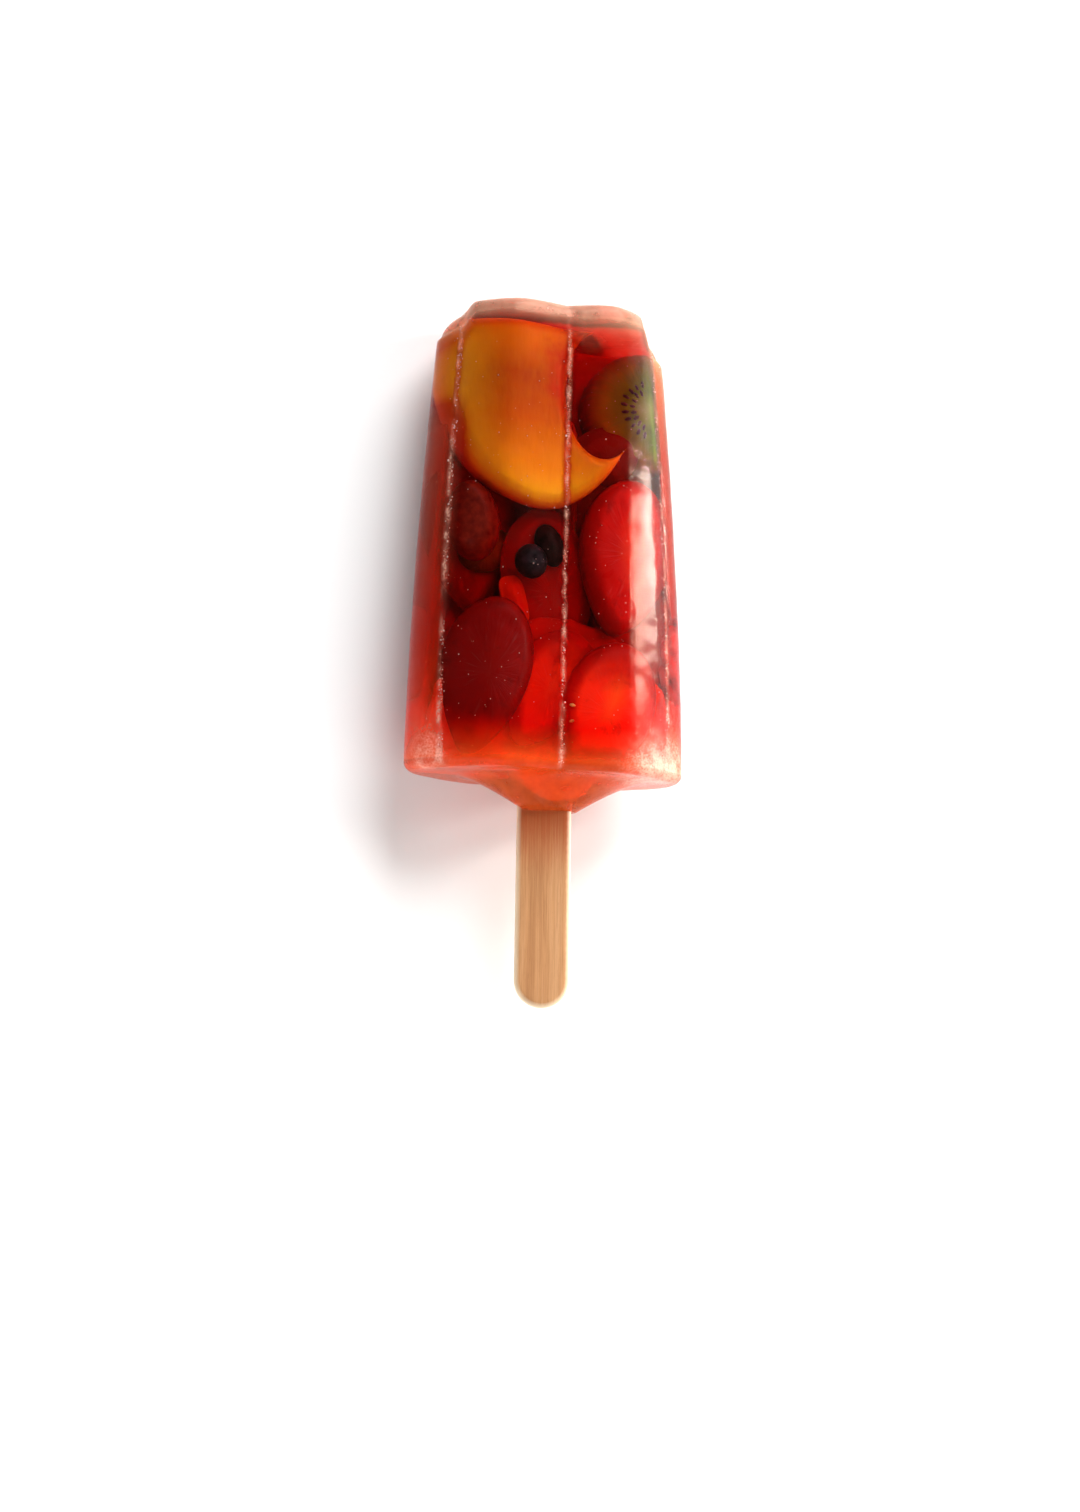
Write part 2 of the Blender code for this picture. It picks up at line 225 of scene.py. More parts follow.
def skin_depth(across, along):
    """How deep the front of the ice is over a point, in mm from the middle plane."""
    across = np.asarray(across, float)
    along = np.asarray(along, float)
    wide, groove, deep = section_sizes(along)
    drift = middle_drift(along)
    side = np.where(across >= drift, 1.0, -1.0)
    share = np.abs(across) / (groove * wide)
    for _ in range(6):
        share = side * (across - drift * np.clip(1.0 - share ** 2, 0.0, 1.0)) / (groove * wide)
    share = np.maximum(share, 0.0)
    place = np.where(
        share > CREST_ACROSS,
        (share - CREST_ACROSS) / (1.0 - CREST_ACROSS),
        share / CREST_ACROSS - 1.0)
    face = deep * superellipse(np.clip(share, 0.0, 1.0) * groove)
    face += FACE_RIB_HEIGHT * rib(place, FACE_CREST_SOFTNESS)
    low = np.zeros_like(face)
    high = deep * superellipse(groove)
    for _ in range(20):
        middle = (low + high) / 2.0
        outer = side_reach(along, middle)
        inside = outer > np.abs(across)
        low = np.where(inside, middle, low)
        high = np.where(inside, high, middle)
    return np.where(share < 1.0, face, low)


def side_reach(along, depth):
    """How far out the ice reaches at a depth that is on its side ribs."""
    wide, groove, deep = section_sizes(along)
    groove_depth = deep * superellipse(groove)
    share = np.clip(np.abs(depth) / groove_depth, 0.0, 1.0)
    reach = wide * superellipse(np.abs(depth) / deep)
    return reach + SIDE_RIB_HEIGHT * rib(share, SIDE_CREST_SOFTNESS)


def tip_height(across):
    groove = TIP_GROOVE_ACROSS * (half_width(ICE_LENGTH) - SIDE_RIB_HEIGHT)
    past = (np.abs(across) - (groove - SHOULDER_RUN)) / SHOULDER_RUN
    step = smoothstep(np.clip(past, 0.0, 1.0))
    outside = np.maximum(np.abs(across) - groove, 0.0)
    drop = SHOULDER_DROP + np.copysign(SHOULDER_UNEVEN, across)
    return ICE_LENGTH + TIP_SKEW * across - drop * step - SHOULDER_SLOPE * outside


def collar_height(across, depth):
    sideways = (across - COLLAR_SHIFT) / COLLAR_HALF_WIDTH
    distance = np.hypot(sideways, depth / COLLAR_HALF_DEPTH)
    fall = np.clip((distance - COLLAR_TOP) / (1.0 - COLLAR_TOP), 0.0, 1.0)
    return COLLAR_HEIGHT * (1.0 - fall) ** COLLAR_CURVE


def rounding(step, steps):
    angle = 0.5 * math.pi * step / steps
    return math.cos(angle), 1.0 - math.sin(angle)


def pulled_in(across, depth, inset):
    shrink = np.maximum(1.0 - inset / np.hypot(across, depth), 0.0)
    return across * shrink, depth * shrink


def block_rings():
    """Rings of (across, along, depth) from the middle of the base to that of the tip, and how
    milky the skin is at each point. It is milky at the ends and on the side ribs, but clear by the
    raspberry and the peach. At the ends, and towards the tip right of the middle groove, the film
    also carries painted light: painted light on the base and painted sheen on and by the tip."""
    everywhere = np.ones_like(SIDE)
    base_across, base_depth = section(0.0 * everywhere)
    tip_across, tip_depth = section(ICE_LENGTH * everywhere)
    rings = []
    veils = []

    def add(across, along, depth, veil):
        floor = REST_FLAT - half_depth(along)
        rings.append(np.stack([across, along, np.maximum(depth, floor)], axis=-1))
        veils.append(veil * everywhere)

    inner = pulled_in(base_across, base_depth, BASE_EDGE_INSET)
    for step in range(1, CAP_STEPS):
        share = step / CAP_STEPS
        x, z = inner[0] * share, inner[1] * share
        add(x, -collar_height(x, z), z, END_FROST_AND_LIGHT)
    for step in range(EDGE_STEPS, 0, -1):
        gone, drop = rounding(step, EDGE_STEPS)
        x, z = pulled_in(base_across, base_depth, BASE_EDGE_INSET * (1.0 - gone))
        add(x, BASE_EDGE_DROP * drop - collar_height(x, z), z, END_FROST_AND_LIGHT)
    top = tip_height(tip_across) - TIP_EDGE_DROP
    for step in range(LENGTH_STEPS + 1):
        along = BASE_EDGE_DROP + (top - BASE_EDGE_DROP) * step / LENGTH_STEPS
        near_base = np.exp(-(along - BASE_EDGE_DROP) / 3.2)
        near_tip = np.exp(-(top - along) / 1.5)
        by_berry = np.exp(-((along - 24.0) / 13.0) ** 4) * (SIDE > 0.0)
        by_peach = np.clip((along - 64.0) / 8.0, 0.0, 1.0) * (SIDE < 0.0)
        on_side = ON_SIDE * (1.0 - 0.9 * by_berry) * (1.0 - by_peach)
        by_groove = np.exp(-((PLACE - 1.0) / 0.22) ** 2) * (SIDE < 0.0) * ~ON_SIDE
        by_groove *= (1.0 - by_peach) * np.clip((along - 26.0) / 10.0, 0.0, 1.0)
        x, z = section(along)
        # painted sheen: extra film towards the tip, right of the middle groove
        tip_sheen = np.exp(-(top - along) / 6.0) * np.clip((x - 1.0) / 3.0, 0.0, 1.0)
        add(x, along, z, BASE_FROST_AND_LIGHT * near_base + TIP_SIDE_FROST_AND_SHEEN * near_tip
            + SIDE_RIB_FILM * on_side + TIP_SHEEN_FILM * tip_sheen + GROOVE_FILM * by_groove)
    for step in range(1, EDGE_STEPS + 1):
        gone, drop = rounding(step, EDGE_STEPS)
        x, z = pulled_in(tip_across, tip_depth, TIP_EDGE_INSET * (1.0 - gone))
        film = TIP_EDGE_FROST_AND_SHEEN + TIP_FILM_GAIN * (1.0 - gone)
        add(x, tip_height(x) - TIP_EDGE_DROP * drop, z, film)
    cap = rings[-1]
    for step in range(1, CAP_STEPS):
        share = 1.0 - step / CAP_STEPS
        x, z = cap[:, 0] * share, cap[:, 2] * share
        add(x, tip_height(x), z, TIP_FROST_AND_SHEEN + TIP_CAP_GAIN * share)
    return rings, veils


# ---- mesh helpers

def new_object(name, data):
    item = bpy.data.objects.new(name, data)
    bpy.context.scene.collection.objects.link(item)
    return item


def wobble(points, size, seed=0.0):
    """Smooth noise from -1 to 1 at points in mm, with bumps about size mm apart."""
    shift = Vector((seed, seed * 1.7, seed * 2.3))
    return np.array([noise.noise(Vector(p) / size + shift) for p in points])


def add_piece(name, points, faces, material, values=None, smooth=True):
    """A mesh piece that rides on the lolly. values are per-vertex attributes."""
    mesh = bpy.data.meshes.new(name)
    mesh.from_pydata(to_row(points).tolist(), [], faces)
    for key, numbers in (values or {}).items():
        numbers = np.asarray(numbers, np.float32)
        if numbers.ndim == 1:
            mesh.attributes.new(key, "FLOAT", "POINT").data.foreach_set("value", numbers)
        else:
            kind = mesh.attributes.new(key, "FLOAT_VECTOR", "POINT")
            kind.data.foreach_set("vector", numbers.ravel())
    shape = bmesh.new()
    shape.from_mesh(mesh)
    bmesh.ops.recalc_face_normals(shape, faces=shape.faces)
    shape.to_mesh(mesh)
    shape.free()
    if smooth:
        mesh.shade_smooth()
    mesh.materials.append(material)
    piece = new_object(name, mesh)
    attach(piece, "root")
    return piece


def ring_faces(rings, count):
    """Quads between rings of count points, numbered one ring after another, and fans
    to a first point and a last point that come after all of them."""
    faces = []
    first = rings * count
    last = first + 1
    for index in range(count):
        after = (index + 1) % count
        faces.append((first, index, after))
        high = (rings - 1) * count
        faces.append((last, high + after, high + index))
        for ring in range(rings - 1):
            low = ring * count
            faces.append((low + index, low + count + index, low + count + after, low + after))
    return faces


def dense(outline, spacing):
    """The closed outline with a point about every spacing mm."""
    line = np.asarray(outline, float)
    made = []
    for start, end in zip(line, np.roll(line, -1, axis=0)):
        steps = max(1, int(round(np.hypot(*(end - start)) / spacing)))
        made += [start + (end - start) * step / steps for step in range(steps)]
    kept = [made[0]]
    for point in made[1:]:
        if np.hypot(*(point - kept[-1])) > 0.25 * spacing:
            kept.append(point)
    if np.hypot(*(kept[-1] - kept[0])) < 0.25 * spacing:
        kept.pop()
    return np.array(kept)


def edge_distance(points, outline):
    """Distance from each point to the outline's nearest side."""
    start = outline
    side = np.roll(outline, -1, axis=0) - start
    length = (side ** 2).sum(1)
    best = np.full(len(points), 1e9)
    for a, d, size in zip(start, side, length):
        share = np.clip(((points - a) @ d) / size, 0.0, 1.0)
        near = a + share[:, None] * d
        best = np.minimum(best, np.hypot(*(points - near).T))
    return best


def inside(points, outline):
    """True for each point that lies within the outline."""
    x, y = points.T
    within = np.zeros(len(points), bool)
    x0, y0 = outline[-1]
    for x1, y1 in outline:
        crosses = (y1 > y) != (y0 > y)
        with np.errstate(divide="ignore", invalid="ignore"):
            at = (x0 - x1) * (y - y1) / (y0 - y1) + x1
        within ^= crosses & (x < at)
        x0, y0 = x1, y1
    return within


def slab(outline, low, high, spacing, edge):
    """A closed slab over an outline, with rounded edges. low and high give the depths
    of its faces over points (n, 2). Returns points, faces and distance to the edge."""
    rim = dense(outline, spacing)
    lowest = rim.min(0)
    highest = rim.max(0)
    grid = np.stack(np.meshgrid(
        np.arange(lowest[0], highest[0], spacing),
        np.arange(lowest[1], highest[1], spacing * 0.87)), axis=-1)
    grid[1::2, :, 0] += spacing / 2.0
    grid = grid.reshape(-1, 2)
    grid = grid[inside(grid, rim)]
    grid = grid[edge_distance(grid, rim) > 0.62 * edge]
    tangent = np.roll(rim, -1, axis=0) - np.roll(rim, 1, axis=0)
    normal = np.stack([-tangent[:, 1], tangent[:, 0]], axis=-1)
    normal /= np.hypot(*normal.T)[:, None] + 1e-9
    inner = []
    for share in (0.08, 0.32):
        for sign in (1.0, -1.0):
            ring = rim + sign * share * edge * normal
            ring = ring[inside(ring, rim)]
            inner.append(ring[edge_distance(ring, rim) > 0.9 * share * edge])
    flat = np.concatenate([rim, *inner, grid])
    verts, _, tris, *_ = geometry.delaunay_2d_cdt(
        [Vector(p) for p in flat], [], [list(range(len(rim)))], 1, 1e-5)
    flat = np.array([tuple(v) for v in verts])
    away = edge_distance(flat, rim)
    share = np.clip(away / edge, 0.0, 1.0)
    drop = edge * (1.0 - np.sqrt(1.0 - (1.0 - share) ** 2))
    top = high(flat)
    bottom = low(flat)
    middle = (top + bottom) / 2.0
    drop = np.minimum(drop, np.maximum((top - bottom) / 2.0 - 0.05, 0.0))
    count = len(flat)
    points = [
        np.column_stack([flat, np.maximum(top - drop, middle)]),
        np.column_stack([flat, np.minimum(bottom + drop, middle)])]
    faces = [tuple(t) for t in tris]
    faces += [tuple(i + count for i in reversed(t)) for t in tris]
    uses = {}
    for t in tris:
        for a, b in zip(t, (*t[1:], t[0])):
            uses[(a, b)] = 1
    border = [pair for pair in uses if (pair[1], pair[0]) not in uses]
    ring_ids = {a: k for k, (a, b) in enumerate(border)}
    ids = np.array([a for a, b in border])
    total = 2 * count
    columns = [ids]
    for level in range(1, SLAB_LEVELS):
        part = level / SLAB_LEVELS
        points.append(points[0][ids] * (1.0 - part) + points[1][ids] * part)
        columns.append(np.arange(total, total + len(ids)))
        total += len(ids)
    columns.append(ids + count)
    for a, b in border:
        i, j = ring_ids[a], ring_ids[b]
        for upper, lower in zip(columns, columns[1:]):
            faces.append((upper[j], upper[i], lower[i], lower[j]))
    faces = [tuple(int(i) for i in face) for face in faces]
    away = np.concatenate([away, away, np.zeros(total - 2 * count)])
    return np.concatenate(points), faces, away


def arc(centre, radii, start, end, steps):
    angles = np.radians(np.linspace(start, end, steps + 1))
    return [(centre[0] + radii[0] * math.cos(a), centre[1] + radii[1] * math.sin(a))
            for a in angles]


def flat_at(depth):
    """A level face for slab."""
    return lambda points: np.full(len(points), depth)


def turns_of(steps):
    """The angles of equal steps round a circle."""
    return [2.0 * math.pi * step / steps for step in range(steps)]


def strawberry_outline(width, length):
    points = []
    for angle in turns_of(60):
        lift = math.sin(angle)
        shoulder = 1.0 + 0.28 * lift - 0.12 * lift * lift
        points.append((width / 2.0 * math.cos(angle) * shoulder, length / 2.0 * lift))
    return points


def peach_outline(radii, top, pit_centre, pit_radii):
    left = 180.0 - math.degrees(math.asin(top / radii[1]))
    skin = arc((0.0, 0.0), radii, left, 326.0, 48)
    return skin + arc(pit_centre, pit_radii, -50.0, -256.0, 32)


def chunk_outline(width, length):
    def swollen(size, share):
        return size / 2.0 * math.copysign(abs(share) ** 0.6, share)
    return [(swollen(width, math.cos(angle)), swollen(length, math.sin(angle)))
            for angle in turns_of(48)]


def placed(local, place, turn):
    """Piece coordinates (n, 2) turned and moved to (across, along)."""
    c, s = math.cos(math.radians(turn)), math.sin(math.radians(turn))
    p = np.asarray(local, float)
    return np.column_stack([
        place[0] + p[:, 0] * c - p[:, 1] * s,
        place[1] + p[:, 0] * s + p[:, 1] * c])


def unplaced(flat, place, turn):
    """The way back from placed."""
    return placed(np.asarray(flat) - np.asarray(place), (0.0, 0.0), -turn)


def kept_within(flat, depth, inset=INSET):
    """Points (n, 2) moved sideways and lengthwise until they are inside the ice at that
    depth."""
    flat = np.array(flat, float)
    reach = side_reach(on_block(flat[:, 1]), np.full(len(flat), depth)) - inset
    flat[:, 0] = np.clip(flat[:, 0], -reach, reach)
    lowest = inset + 1.6
    highest = tip_height(flat[:, 0]) - 1.6 - inset
    flat[:, 1] = np.clip(flat[:, 1], lowest, highest)
    return flat


def polar_table():
    """The skin's distance from the axis, by place along the block and angle round it."""
    alongs = np.linspace(0.0, ICE_LENGTH, 62)
    angles = np.linspace(-math.pi, math.pi, 1441)
    table = []
    for along in alongs:
        across, depth = section(along * np.ones_like(SIDE))
        angle = np.arctan2(depth, across)
        order = np.argsort(angle)
        table.append(np.interp(
            angles, angle[order], np.hypot(across, depth)[order], period=2.0 * math.pi))
    return alongs, angles, np.array(table)


ALONGS, ANGLES, SKIN_RADIUS = polar_table()


def under_skin(points, inset=INSET):
    """Points (n, 3) pulled towards the axis until they are inset from the block's section,
    which doesn't have the rest flat."""
    points = np.array(points, float)
    row = on_block(points[:, 1]) / ICE_LENGTH * (len(ALONGS) - 1)
    column = (np.arctan2(points[:, 2], points[:, 0]) + math.pi) / (2.0 * math.pi)
    column *= len(ANGLES) - 1
    low_row = np.minimum(row.astype(int), len(ALONGS) - 2)
    low_column = np.minimum(column.astype(int), len(ANGLES) - 2)
    up = row - low_row
    on = column - low_column
    skin = SKIN_RADIUS[low_row, low_column] * (1.0 - up) * (1.0 - on)
    skin += SKIN_RADIUS[low_row + 1, low_column] * up * (1.0 - on)
    skin += SKIN_RADIUS[low_row, low_column + 1] * (1.0 - up) * on
    skin += SKIN_RADIUS[low_row + 1, low_column + 1] * up * on
    radius = np.hypot(points[:, 0], points[:, 2])
    shrink = np.minimum(1.0, (skin - inset) / np.maximum(radius, 1e-6))
    points[:, 0] *= shrink
    points[:, 2] *= shrink
    return points


def slice_piece(name, outline, place, turn, low, high, material, slot, stands_for=(),
                thicker=None):
    """A slice of fruit between two depths, which follows the ice's front or back where a
    depth is BEYOND. thicker gives (across, slope) for a slice that grows thicker towards
    the left wall from that place."""
    depth = low if abs(low) < abs(high) else high
    if thicker:
        depth -= 2.0
    elif BEYOND in (-low, high):
        depth += math.copysign(1.4, high + low)
    flat = kept_within(dense(placed(outline, place, turn), SLICE_SPACING), depth)

    def face(limit):
        def at(points):
            skin = skin_depth(points[:, 0], on_block(points[:, 1])) - INSET
            return np.clip(np.full(len(points), limit), -skin, skin)
        return at

    def bottom(points):
        depth = face(low)(points)
        if thicker:
            depth = depth - thicker[1] * np.maximum(thicker[0] - points[:, 0], 0.0)
        return depth

    points, faces, away = slab(flat, bottom, face(high), SLICE_SPACING, SLICE_EDGE)
    local = unplaced(points[:, :2], place, turn)
    bumps = wobble(points, 3.0, 3.1)
    outward = np.where(points[:, 2] > (low + high) / 2.0, 1.0, -1.0)
    points[:, 2] += SLICE_WAVE * bumps * outward
    points = under_skin(points)
    values = {
        "rim": away,
        "local": np.column_stack([local, points[:, 2]]),
        "radius": np.hypot(*local.T),
    }
    piece = add_piece(name, points, faces, material, values)
    if stands_for:
        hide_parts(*stands_for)


def ball(radii):
    """Points and faces of a fine ellipsoid round the origin, with its poles on the Y
    axis, and its points as they are on a ball of radius 1."""
    points = []
    for row in range(1, BALL_ROWS):
        rise = math.pi * row / BALL_ROWS
        for turn in turns_of(BALL_TURNS):
            points.append((
                math.sin(rise) * math.cos(turn), -math.cos(rise), math.sin(rise) * math.sin(turn)))
    points += [(0.0, -1.0, 0.0), (0.0, 1.0, 0.0)]
    unit = np.array(points)
    return unit * np.array(radii), ring_faces(BALL_ROWS - 1, BALL_TURNS), unit


def berry_piece(name, radii, place, turn, material, shape=None, stands_for=()):
    points, faces, unit = ball(radii)
    values = {"local": points.copy(), "unit": unit}
    if shape is not None:
        swell, more = shape(unit)
        points = points * (1.0 + swell)[:, None]
        values.update(more)
    flat = placed(points[:, :2], place[:2], turn)
    points = np.column_stack([flat, points[:, 2] + place[2]])
    piece = add_piece(name, under_skin(points), faces, material, values)
    if stands_for:
        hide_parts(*stands_for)


# ---- materials

class Nodes:
    """Short ways to write a material's nodes."""

    def __init__(self, name):
        self.material = bpy.data.materials.new(name)
        self.material.use_nodes = True
        self.tree = self.material.node_tree
        self.shader = self.tree.nodes["Principled BSDF"]
        self.output = self.tree.nodes["Material Output"]

    def add(self, kind, inputs=None, **settings):
        node = self.tree.nodes.new(kind)
        for key, value in settings.items():
            setattr(node, key, value)
        for key, value in (inputs or {}).items():
            self.set(node, key, value)
        return node

    def set(self, node, key, value):
        socket = node.inputs[key]
        if isinstance(value, bpy.types.NodeSocket):
            self.tree.links.new(value, socket)
        else:
            socket.default_value = value

    def value(self, name):
        return self.add("ShaderNodeAttribute", attribute_name=name).outputs["Fac"]

    def vector(self, name):
        return self.add("ShaderNodeAttribute", attribute_name=name).outputs["Vector"]

    def where(self):
        return self.add("ShaderNodeTexCoord").outputs["Object"]

    def parts(self, vector):
        return self.add("ShaderNodeSeparateXYZ", {"Vector": vector}).outputs

    def scaled(self, vector, scale):
        return self.add("ShaderNodeMapping", {"Vector": vector, "Scale": scale}).outputs[0]

    def noise(self, vector, scale, detail=3.0, rough=0.5, distortion=0.0):
        return self.add("ShaderNodeTexNoise", {
            "Vector": vector, "Scale": scale, "Detail": detail, "Roughness": rough,
            "Distortion": distortion}).outputs["Fac"]

    def spots(self, vector, scale):
        return self.add(
            "ShaderNodeTexVoronoi", {"Vector": vector, "Scale": scale}).outputs["Distance"]

    def math(self, operation, first, second=0.0, third=0.0):
        node = self.add("ShaderNodeMath", operation=operation)
        for index, value in enumerate((first, second, third)):
            self.set(node, index, value)
        return node.outputs[0]

    def fit(self, value, low, high, to_low=0.0, to_high=1.0, smooth=False):
        return self.add(
            "ShaderNodeMapRange",
            {"Value": value, "From Min": low, "From Max": high,
             "To Min": to_low, "To Max": to_high},
            interpolation_type="SMOOTHSTEP" if smooth else "LINEAR").outputs[0]

    def ragged(self, value, noise, low, high, amount):
        """The value with noise from -amount to amount added."""
        return self.math("MULTIPLY_ADD", self.fit(noise, low, high, -1.0, 1.0), amount, value)

    def rays(self, parts, radius, round_it, outward, scale):
        """Fibres that run outward from a slice's middle."""
        turn = self.math("ARCTAN2", parts[1], parts[0])
        place = self.add("ShaderNodeCombineXYZ", {
            "X": self.math("MULTIPLY", turn, round_it),
            "Y": self.math("MULTIPLY", radius, outward)}).outputs[0]
        return self.noise(place, scale, 3.0, 0.6)

    def ramp(self, value, stops):
        node = self.add("ShaderNodeValToRGB", {"Fac": value})
        line = node.color_ramp
        while len(line.elements) < len(stops):
            line.elements.new(1.0)
        for element, (place, colour) in zip(line.elements, stops):
            element.position = place
            element.color = (*colour, 1.0)
        return node.outputs["Color"]

    def mix(self, share, first, second):
        node = self.add("ShaderNodeMix", data_type="RGBA")
        self.set(node, 0, share)
        for index, value in ((6, first), (7, second)):
            if isinstance(value, tuple):
                value = (*value, 1.0)
            self.set(node, index, value)
        return node.outputs[2]

    def bump(self, height, distance, strength, normal=None):
        inputs = {"Height": height, "Distance": distance, "Strength": strength}
        if normal is not None:
            inputs["Normal"] = normal
        return self.add("ShaderNodeBump", inputs).outputs[0]

    def finish(self, colour, patches, smooth, rough, bump, **more):
        """A surface that is rougher in patches; bump is (height, distance, strength)."""
        return self.surface(
            Base_Color=colour, Roughness=self.fit(patches, 0.3, 0.7, smooth, rough),
            Normal=self.bump(*bump), **more)

    def surface(self, **inputs):
        for key, value in inputs.items():
            key = key.replace("_", " ")
            if isinstance(value, tuple) and len(value) == 3 and key.endswith("Color"):
                value = (*value, 1.0)
            self.set(self.shader, key, value)
        return self.material


def juice_ice():
    n = Nodes("clear_juice_ice")
    where = n.where()
    frost = n.value("frost")
    veil = n.value("veil")
    grain = n.fit(n.noise(where, 2600.0, 3.0, 0.6), 0.3, 0.7)
    patches = n.noise(where, 420.0, 3.0, 0.55)
    white = n.math("MULTIPLY", frost, n.math("MULTIPLY_ADD", grain, 0.6, 0.2))
    white = n.math("MULTIPLY", white, n.fit(patches, 0.25, 0.65, 0.4, 1.1))
    film = n.math("MULTIPLY", veil, n.fit(patches, 0.25, 0.75, 0.8, 1.15))
    cover = n.fit(n.math("ADD", white, film), 0.0, 1.0)
    haze = n.fit(n.noise(where, 120.0, 3.0, 0.55), 0.3, 0.75, 0.0, 1.0)
    rough = n.math("MULTIPLY_ADD", haze, 0.08, 0.12)
    rough = n.math("MULTIPLY_ADD", cover, 0.08, rough)
    waves = n.noise(where, 330.0, 2.0, 0.5)
    fine = n.noise(where, 1800.0, 3.0, 0.6)
    bump = n.bump(waves, 0.00012, 0.5)
    bump = n.bump(fine, 0.00004, n.math("MULTIPLY_ADD", frost, 0.9, 0.08), bump)
    # the film's colour: frost makes it paler pink; the orange-red at the base is painted light,
    # and the pale tan at the tip is painted sheen
    along = n.parts(where)[1]
    tint = n.ramp(n.fit(along, -0.026, 0.067), [
        (0.0, (1.0, 0.15, 0.022)), (0.12, (1.0, 0.07, 0.008)), (0.30, (0.64, 0.035, 0.012)),
        (0.70, (0.60, 0.10, 0.045)), (0.88, (0.70, 0.30, 0.12)), (1.0, (0.95, 0.56, 0.38))])
    frost_and_sheen_colour = n.mix(n.fit(white, 0.0, 0.3), tint, (0.94, 0.45, 0.33))
    material = n.surface(
        Base_Color=n.mix(n.fit(cover, 0.0, 0.06), (0.99, 0.95, 0.93), frost_and_sheen_colour),
        Roughness=rough,
        Transmission_Weight=n.fit(cover, 0.05, 1.0, 1.0, 0.1),
        IOR=1.31,
        Specular_IOR_Level=0.15,
        Specular_Tint=(1.0, 0.58, 0.42, 1.0),
        Normal=bump)
    juice = n.add(
        "ShaderNodeVolumeAbsorption", {"Color": JUICE_COLOUR, "Density": JUICE_DENSITY})
    n.tree.links.new(juice.outputs[0], n.output.inputs["Volume"])
    return material


def cloudy_heart():
    """Ice full of tiny bubbles and juice pulp, deep in the block."""
    n = Nodes("cloudy_juice_ice")
    where = n.vector("local")
    patches = n.noise(where, 0.16, 4.0, 0.6)
    along = n.fit(n.parts(where)[1], 0.0, ICE_LENGTH)
    place = n.ragged(along, patches, 0.3, 0.7, 0.07)
    colour = n.ramp(place, [
        (0.0, (1.0, 0.22, 0.06)), (0.07, (1.0, 0.11, 0.02)), (0.14, (0.90, 0.03, 0.005)),
        (0.24, (0.46, 0.008, 0.003)), (0.50, (0.50, 0.010, 0.004)),
        (0.66, (0.50, 0.018, 0.006)), (0.80, (0.50, 0.08, 0.03)), (1.0, (0.50, 0.13, 0.05))])
    colour = n.mix(n.fit(n.value("rim"), 3.0, 6.0, 0.75, 0.0), colour, n.ramp(place, [
        (0.0, (0.98, 0.22, 0.05)), (0.10, (0.95, 0.10, 0.014)), (0.28, (0.62, 0.025, 0.004)),
        (0.55, (0.50, 0.020, 0.004)), (0.75, (0.52, 0.09, 0.012)), (0.88, (0.55, 0.22, 0.03)),
        (1.0, (0.55, 0.24, 0.06))]))
    speck = n.fit(n.spots(where, 1.1), 0.05, 0.16)
    colour = n.mix(speck, n.mix(0.25, colour, (0.95, 0.60, 0.45)), colour)
    return n.surface(
        Base_Color=colour, Roughness=0.55, Specular_IOR_Level=0.1,
        Normal=n.bump(patches, 0.0004, 0.4))


def strawberry_flesh(name, skin, flesh, heart, seed, painted_light_end=None, painted_shade_end=None):
    """A cut strawberry. Its two last colours are painted light and painted shade: a brighter
    colour painted on its pointed end, and a darker one painted on its leaf end."""
    n = Nodes(name)
    where = n.vector("local")
    shifted = n.add(
        "ShaderNodeVectorMath", {0: where, 1: (seed, seed, 0.0)}, operation="ADD").outputs[0]
    patches = n.noise(shifted, 0.22, 4.0, 0.6)
    parts = n.parts(where)
    fibre = n.rays(parts, n.value("radius"), 5.0, 0.08, 2.2)
    rim = n.ragged(n.value("rim"), patches, 0.25, 0.75, 0.9)
    colour = n.ramp(n.fit(rim, 0.0, 9.0), [
        (0.0, skin), (0.12, skin), (0.3, flesh), (0.62, flesh), (1.0, heart)])
    pale = tuple(min(1.0, 0.55 * c + 0.35) for c in flesh)
    streak = n.math("MULTIPLY", n.fit(fibre, 0.56, 0.72), n.fit(rim, 1.5, 4.5))
    colour = n.mix(n.math("MULTIPLY", streak, 0.05), colour, pale)
    deep = tuple(0.35 * c for c in skin)
    colour = n.mix(n.fit(patches, 0.58, 0.75, 0.0, 0.6), colour, deep)
    end = n.ragged(parts[1], patches, 0.3, 0.7, 1.5)
    # painted light: the pointed end is painted brighter; painted shade: the leaf end is painted
    # darker
    if painted_light_end:
        colour = n.mix(n.fit(end, -6.5, -13.5, 0.0, 0.8, smooth=True), colour, painted_light_end)
    if painted_shade_end:
        colour = n.mix(n.fit(end, 2.0, 11.0, 0.0, 0.8, smooth=True), colour, painted_shade_end)
    return n.finish(
        colour, patches, 0.25, 0.45, (fibre, 0.0002, 0.5), Specular_IOR_Level=0.04,
        Subsurface_Weight=0.12, Subsurface_Radius=(2.0, 0.5, 0.25), Subsurface_Scale=0.001)


